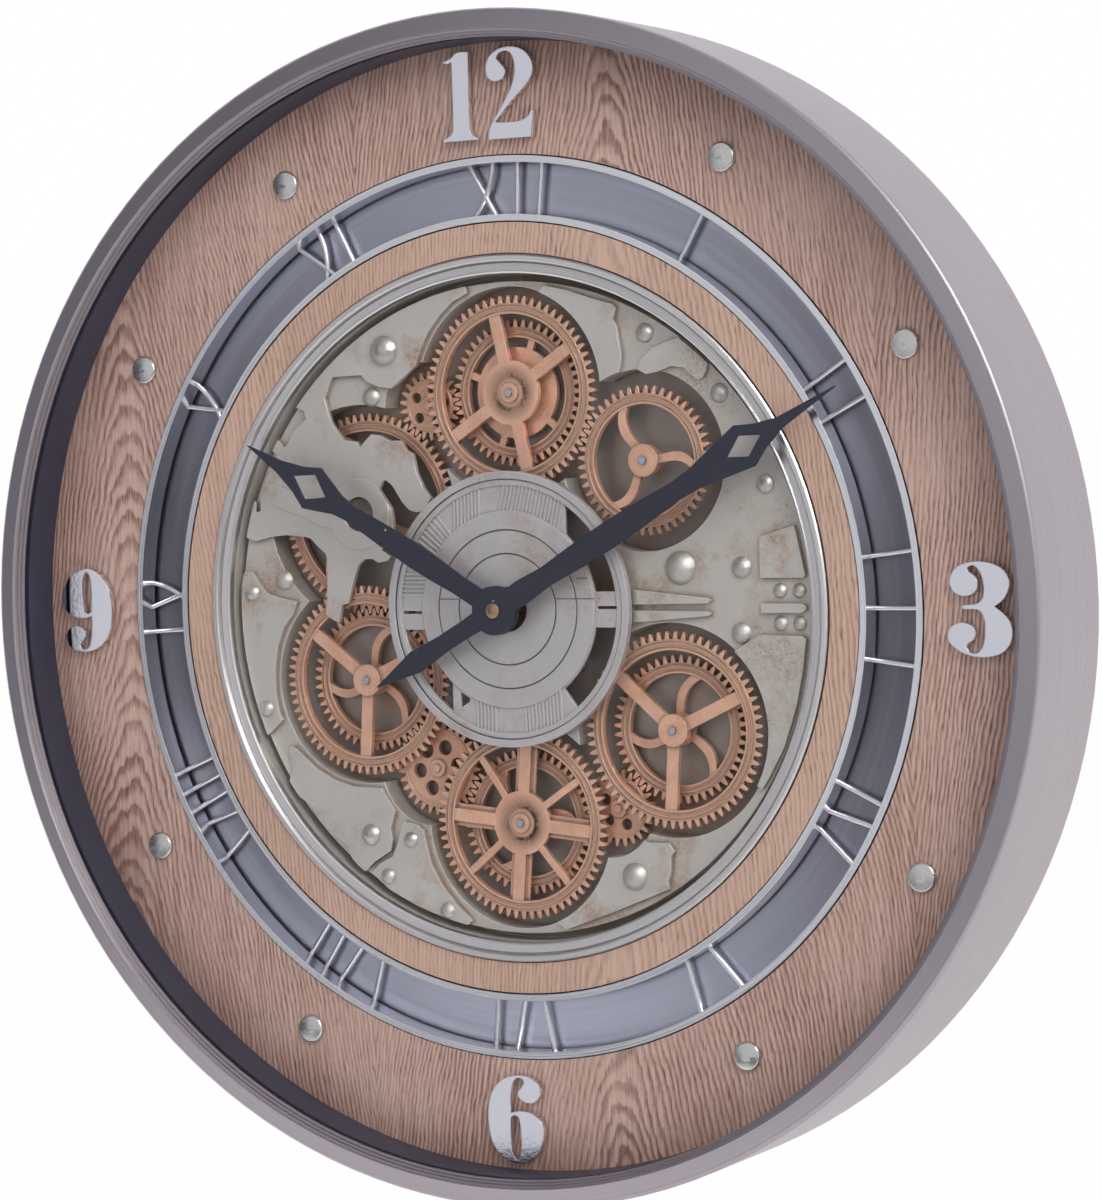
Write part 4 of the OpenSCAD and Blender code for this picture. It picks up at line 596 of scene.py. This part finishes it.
GLASS_CLEAR = (0.985, 0.99, 0.992, 1)
GLASS_SMEARED = (0.97, 0.98, 0.982, 1)


def clear_glass(name):
    """Window glass with a faint smear, through which the lamps pass."""
    material = bpy.data.materials.new(name)
    material.use_nodes = True
    material.node_tree.nodes.clear()
    tree = Tree(material.node_tree)
    place = tree.add("TexCoord").outputs["Object"]
    path = tree.add("LightPath").outputs
    smear = tree.use(GRIME, vector=place, scale=6.0)
    glass = tree.add("BsdfPrincipled", {
        "Base Color": tree.mix(smear["Cloud"], GLASS_CLEAR, GLASS_SMEARED),
        "Roughness": tree.spread(smear["Tone"], 0.0, 0.012),
        "Metallic": 0.0, "IOR": 1.12, "Transmission Weight": 1.0})
    open_air = tree.add("BsdfTransparent")
    passes = tree.math("MAXIMUM", path["Is Shadow Ray"], path["Is Diffuse Ray"])
    mixed = tree.add("MixShader", {0: passes, 1: glass.outputs[0], 2: open_air.outputs[0]})
    tree.add("OutputMaterial", {"Surface": mixed.outputs[0]})
    return material


# Finish of each material slot
FINISHES = {
    "pewter_case": brushed("spun pewter", srgb(190, 182, 188), srgb(166, 158, 164),
                           rough=0.34, fineness=1500.0, spread=0.7, streaks=0.4),
    "dark_liner": coated("blue black liner", srgb(65, 66, 84), srgb(53, 54, 70), rough=0.4,
                         scale=14.0),
    "clear_glass": clear_glass("front glass"),
    "black_rubber": coated("black rubber", srgb(34, 33, 34), srgb(22, 21, 22), rough=0.7,
                           tooth=0.05 * MM),
    "oak_outer": timber("oak, outer ring", light=srgb(206, 175, 161), dark=srgb(142, 104, 92),
                        pore=srgb(104, 72, 62), offset=(0.235, 0, 0.07), leaf=0.15, rise=70.0),
    "oak_inner": timber("oak, inner ring", light=srgb(206, 174, 156), dark=srgb(170, 136, 118),
                        pore=srgb(136, 102, 86), offset=(1.63, 0, 0.4), leaf=0.17, rise=40.0),
    "mirror_metal": polished("mirror plate", srgb(242, 241, 248), srgb(234, 233, 242),
                             rough=0.025, edge=0.7 * MM),
    "bright_metal": brushed("bright band", srgb(246, 245, 250), srgb(226, 225, 230), rough=0.1,
                            fineness=1600.0, spread=0.8, edge=0.3 * MM, corner=0.3),
    "channel_grey": brushed("blue grey channel", srgb(198, 198, 212), srgb(190, 190, 205),
                            rough=0.3, fineness=500.0, spread=0.8, corner=0.9, upright=0.33),
    "aged_silver": aged_silver("silvered sheet", srgb(212, 207, 201), srgb(188, 183, 177)),
    "resin_silver": aged_silver("silvered resin", srgb(210, 204, 197), srgb(184, 178, 171)),
    "steel": polished("turned steel", srgb(206, 212, 226), srgb(168, 174, 190), rough=0.22),
    "hand_black": coated("blue black hands", srgb(50, 50, 64), srgb(44, 44, 57), rough=0.42,
                         dust=0.03, tooth=0.01 * MM, specular=0.3),
    "brass": polished("turned brass", srgb(214, 178, 124), srgb(178, 140, 88), rough=0.26),
    "black_plastic": coated("black plastic", srgb(46, 46, 50), srgb(34, 34, 38), rough=0.46,
                            tooth=0.03 * MM),
    "pale_plastic": coated("pale plastic", srgb(216, 214, 206), srgb(198, 195, 186), rough=0.42),
    "red_plastic": coated("red plastic", srgb(188, 44, 36), srgb(158, 32, 28), rough=0.4),
    "fibreboard": fibreboard("pressed board"),
    "cell_jacket": coated("cell jacket", srgb(150, 120, 60), srgb(60, 62, 66), rough=0.32,
                          scale=8.0),
}

# Where the engraved circles and level lines of the disc lie
DISC_CIRCLES = (40.4 * MM, 28.3 * MM)
DISC_TICKS = ((5.3 * MM, 28.5 * MM, 40.2 * MM), (5.3 * MM, -40.2 * MM, -28.5 * MM),
              (5.3 * MM, 40.6 * MM, 50 * MM), (15.5 * MM, 40.6 * MM, 47 * MM))
# Inside of the pan's wall, and its pale colour, painted light that stands in for the light its
# narrow gap keeps off
PAN_WALL_PAINTED_LIGHT = (169.8 * MM, srgb(214, 209, 204))

# Finishes of single pieces, which go before those of their slots
NODE_FINISHES = {
    "centre_disc": aged_silver("silvered disc", srgb(208, 204, 205), srgb(190, 186, 187),
                               stain=0.75, lines=DISC_CIRCLES, brushing=0.25, depth=1.8 * MM,
                               ticks=DISC_TICKS),
    "movement_bezel": brushed("champagne bezel", srgb(250, 247, 247), srgb(222, 218, 216),
                              rough=0.24, fineness=2200.0, spread=0.5, corner=0.3, edge=0.4 * MM),
    "hour_studs": polished("satin studs", srgb(228, 225, 223), srgb(216, 213, 210), rough=0.22),
    "rivets": polished("domed rivets", srgb(212, 208, 203), srgb(188, 183, 177), rough=0.46),
    "minute_arbor": polished("dull brass cap", srgb(196, 166, 136), srgb(160, 130, 102),
                             rough=0.36),
    "upper_left_arbor": polished("dulled arbor end", srgb(176, 164, 154), srgb(146, 134, 124),
                                 rough=0.4),
    # Darker colours than the silvered plates
    "base_pan": aged_silver("darker silvered pan", srgb(166, 158, 152), srgb(130, 121, 115),
                            wall=PAN_WALL_PAINTED_LIGHT),
}

# Radii of the scribed circles on the wheels' rims
SMALL_RIM = (32.4 * MM, 29.7 * MM)
LARGE_RIM = (44.4 * MM, 41.7 * MM)
LARGEST_RIM = (47.4 * MM, 44.7 * MM)

# Axis, smudge round the boss and rim circles of each copper piece
WHEEL_FINISHES = {
    "top_wheel_front": ("top", 0.95, LARGE_RIM),
    "top_wheel_rear": ("top", 0.9, SMALL_RIM),
    "upper_right_wheel": ("upper_right", 0.2, SMALL_RIM),
    "upper_left_pinion": ("upper_left_pinion", 0.3, ()),
    "upper_left_wheel": ("upper_left_wheel", 0.2, LARGEST_RIM),
    "left_wheel_front": ("left", 0.1, LARGE_RIM),
    "left_wheel_rear": ("left", 0.3, SMALL_RIM),
    "lower_left_pinion": ("lower_left", 0.2, ()),
    "bottom_wheel_front": ("bottom", 1.0, LARGE_RIM),
    "bottom_wheel_rear": ("bottom", 0.3, SMALL_RIM),
    "lower_right_pinion": ("lower_right_pinion", 0.2, ()),
    "lower_right_wheel_front": ("lower_right_wheel", 0.1, LARGE_RIM),
    "lower_right_wheel_rear": ("lower_right_wheel", 0.3, SMALL_RIM),
}
# Tone of the copper on the rear wheels and the pinions, against the front wheels
REAR_TONE = 0.92

SLOT_OF = {entry["node"]: entry["material_slot"] for entry in frame["record"]["subparts"]}


def dress(node, material):
    piece = nodes[node]
    piece.data.materials.clear()
    piece.data.materials.append(material)


for node in nodes:
    if node in WHEEL_FINISHES:
        centre, smudge, lines = WHEEL_FINISHES[node]
        tone = REAR_TONE if node.endswith(("rear", "pinion")) else 1.0
        dress(node, copper("copper " + node, WHEEL_CENTRES[centre], smudge, tone, lines))
    else:
        dress(node, NODE_FINISHES.get(node) or FINISHES[SLOT_OF[node]])


# Light, floor and camera

FLOOR_Z = -0.5
FLOOR_REACH = 6.0
FLOOR_FRONT = -0.75
# Share of plain white where the floor is seen; the rest takes the shadow
FLOOR_WHITE = 0.97
FLOOR_COLOUR = (0.94, 0.94, 0.94, 1)


def floor():
    mesh = bpy.data.meshes.new("floor")
    corners = [(-FLOOR_REACH, FLOOR_FRONT, FLOOR_Z), (FLOOR_REACH, FLOOR_FRONT, FLOOR_Z),
               (FLOOR_REACH, FLOOR_REACH, FLOOR_Z), (-FLOOR_REACH, FLOOR_REACH, FLOOR_Z)]
    mesh.from_pydata(corners, [], [(0, 1, 2, 3)])
    piece = bpy.data.objects.new("floor", mesh)
    bpy.context.scene.collection.objects.link(piece)
    material = bpy.data.materials.new("pale floor")
    material.use_nodes = True
    material.node_tree.nodes.clear()
    tree = Tree(material.node_tree)
    path = tree.add("LightPath").outputs
    seen = tree.math("MAXIMUM", path["Is Camera Ray"],
                     tree.math("MAXIMUM", path["Is Glossy Ray"], path["Is Transmission Ray"]))
    matt = tree.add("BsdfPrincipled", {"Base Color": FLOOR_COLOUR, "Roughness": 0.9})
    white = tree.add("Emission", {"Color": (1, 1, 1, 1), "Strength": 1.0})
    share = tree.math("MULTIPLY", seen, FLOOR_WHITE)
    mixed = tree.add("MixShader", {0: share, 1: matt.outputs[0], 2: white.outputs[0]})
    tree.add("OutputMaterial", {"Surface": mixed.outputs[0]})
    mesh.materials.append(material)


# Where the bright wall in front ends: sideways over ahead at its left, height at its foot,
# and how soft these two edges are
WALL_LEFT = -0.7504
WALL_FOOT = -0.192
LEFT_SOFTNESS = 0.0004
FOOT_SOFTNESS = 0.0003
WALL_LEVEL = 0.655
DARK_LEVEL = 0.03
# Heights between which the wall fades, and its share at the top
WALL_RISE = (-0.1, 0.8)
WALL_TOP_SHARE = 0.8
# Where a wall far to the left fades, and where the ground's glow does, with their levels
FAR_LEFT = (-3.2, -1.3)
FAR_LEFT_LEVEL = 0.75
GROUND = (-0.4, -0.24)
GROUND_LEVEL = 0.5
# How far back the white behind sets in
BEHIND = (-0.1, 0.35)
SHADOW_TINT = (0.8, 0.86, 1.25, 1)
WALL_TINT = (1, 1, 1.03, 1)
WHITE_BEHIND = (0.95, 0.95, 0.97, 1)
SOFT_LIGHT = (0.69, 0.69, 0.71, 1)


def world():
    """White behind the object. In front, a bright wall ends in shadow low down and at the
    left."""
    sky = bpy.data.worlds.new("studio")
    sky.use_nodes = True
    sky.node_tree.nodes.clear()
    tree = Tree(sky.node_tree)
    path = tree.add("LightPath").outputs
    x, y, z = tree.split(tree.add("TexCoord").outputs["Generated"])
    ahead = tree.math("MAXIMUM", tree.math("MULTIPLY", y, -1.0), 0.04)
    sideways = tree.math("DIVIDE", x, ahead)
    wall = tree.product(
        tree.span(sideways, WALL_LEFT - LEFT_SOFTNESS, WALL_LEFT + LEFT_SOFTNESS),
        tree.span(z, WALL_FOOT - FOOT_SOFTNESS, WALL_FOOT + FOOT_SOFTNESS),
        tree.span(z, *WALL_RISE, 1.0, WALL_TOP_SHARE), WALL_LEVEL)
    far_left = tree.span(sideways, *FAR_LEFT, FAR_LEFT_LEVEL, 0.0, smooth=True)
    level = tree.math("MAXIMUM", wall, far_left)
    ground = tree.span(z, *GROUND, GROUND_LEVEL, DARK_LEVEL, smooth=True)
    level = tree.math("MAXIMUM", level, ground)
    level = tree.math("MAXIMUM", level, DARK_LEVEL)
    shade = tree.mix(tree.span(level, 0.0, 0.6), SHADOW_TINT, WALL_TINT)
    mirrored = tree.mix(1.0, shade, tree.join(level, level, level), blend="MULTIPLY")
    behind = tree.span(y, *BEHIND, smooth=True)
    mirrored = tree.mix(behind, mirrored, WHITE_BEHIND)
    bounced = tree.math("MAXIMUM", path["Is Glossy Ray"], path["Is Transmission Ray"])
    colour = tree.mix(bounced, SOFT_LIGHT, mirrored)
    colour = tree.mix(path["Is Camera Ray"], colour, (1, 1, 1, 1))
    background = tree.add("Background", {"Color": colour, "Strength": 1.0})
    tree.add("OutputWorld", {"Surface": background.outputs[0]})
    bpy.context.scene.world = sky


def softbox(name, place, size, energy):
    """A round lamp that faces the origin."""
    lamp = bpy.data.lights.new(name, "AREA")
    lamp.shape = "DISK"
    lamp.size = size
    lamp.energy = energy
    piece = bpy.data.objects.new(name, lamp)
    piece.location = place
    piece.rotation_euler = (-Vector(place)).to_track_quat("-Z", "Y").to_euler()
    bpy.context.scene.collection.objects.link(piece)


# The photograph's camera, in degrees, metres and pixels
AZIMUTH, ELEVATION, ROLL = 30.094, 2.603, -1.568
CAMERA_DISTANCE = 1.85
PHOTO_WIDTH, PHOTO_HEIGHT = 1102, 1200
FOCAL_PIXELS = 3640.8
AXIS_PIXEL = (506.61, 609.41)
SENSOR_MM = 36.0
NEAREST, FARTHEST = 0.05, 50.0


def camera():
    """The photograph's view: from 30 degrees to the right and a little above."""
    azimuth, elevation, roll = (math.radians(v) for v in (AZIMUTH, ELEVATION, ROLL))
    back = Vector((math.sin(azimuth) * math.cos(elevation),
                   -math.cos(azimuth) * math.cos(elevation), math.sin(elevation)))
    right = (-back).cross(Vector((0, 0, 1))).normalized()
    up = right.cross(-back)
    turned_right = right * math.cos(roll) + up * math.sin(roll)
    turned_up = up * math.cos(roll) - right * math.sin(roll)
    eye = bpy.data.cameras.new("camera")
    eye.sensor_fit = "HORIZONTAL"
    eye.sensor_width = SENSOR_MM
    eye.lens = SENSOR_MM * FOCAL_PIXELS / PHOTO_WIDTH
    eye.shift_x = (PHOTO_WIDTH / 2 - AXIS_PIXEL[0]) / PHOTO_WIDTH
    eye.shift_y = -(PHOTO_HEIGHT / 2 - AXIS_PIXEL[1]) / PHOTO_WIDTH
    eye.clip_start, eye.clip_end = NEAREST, FARTHEST
    piece = bpy.data.objects.new("camera", eye)
    rotation = Matrix((turned_right, turned_up, back)).transposed()
    place = Vector((0, DIAL_Y, 0)) + back * CAMERA_DISTANCE
    piece.matrix_world = Matrix.Translation(place) @ rotation.to_4x4()
    bpy.context.scene.collection.objects.link(piece)
    bpy.context.scene.camera = piece


floor()
world()
softbox("key lamp", place=(1.9, -1.5, 1.5), size=1.3, energy=30.0)
camera()
bpy.context.scene.view_settings.view_transform = "Standard"
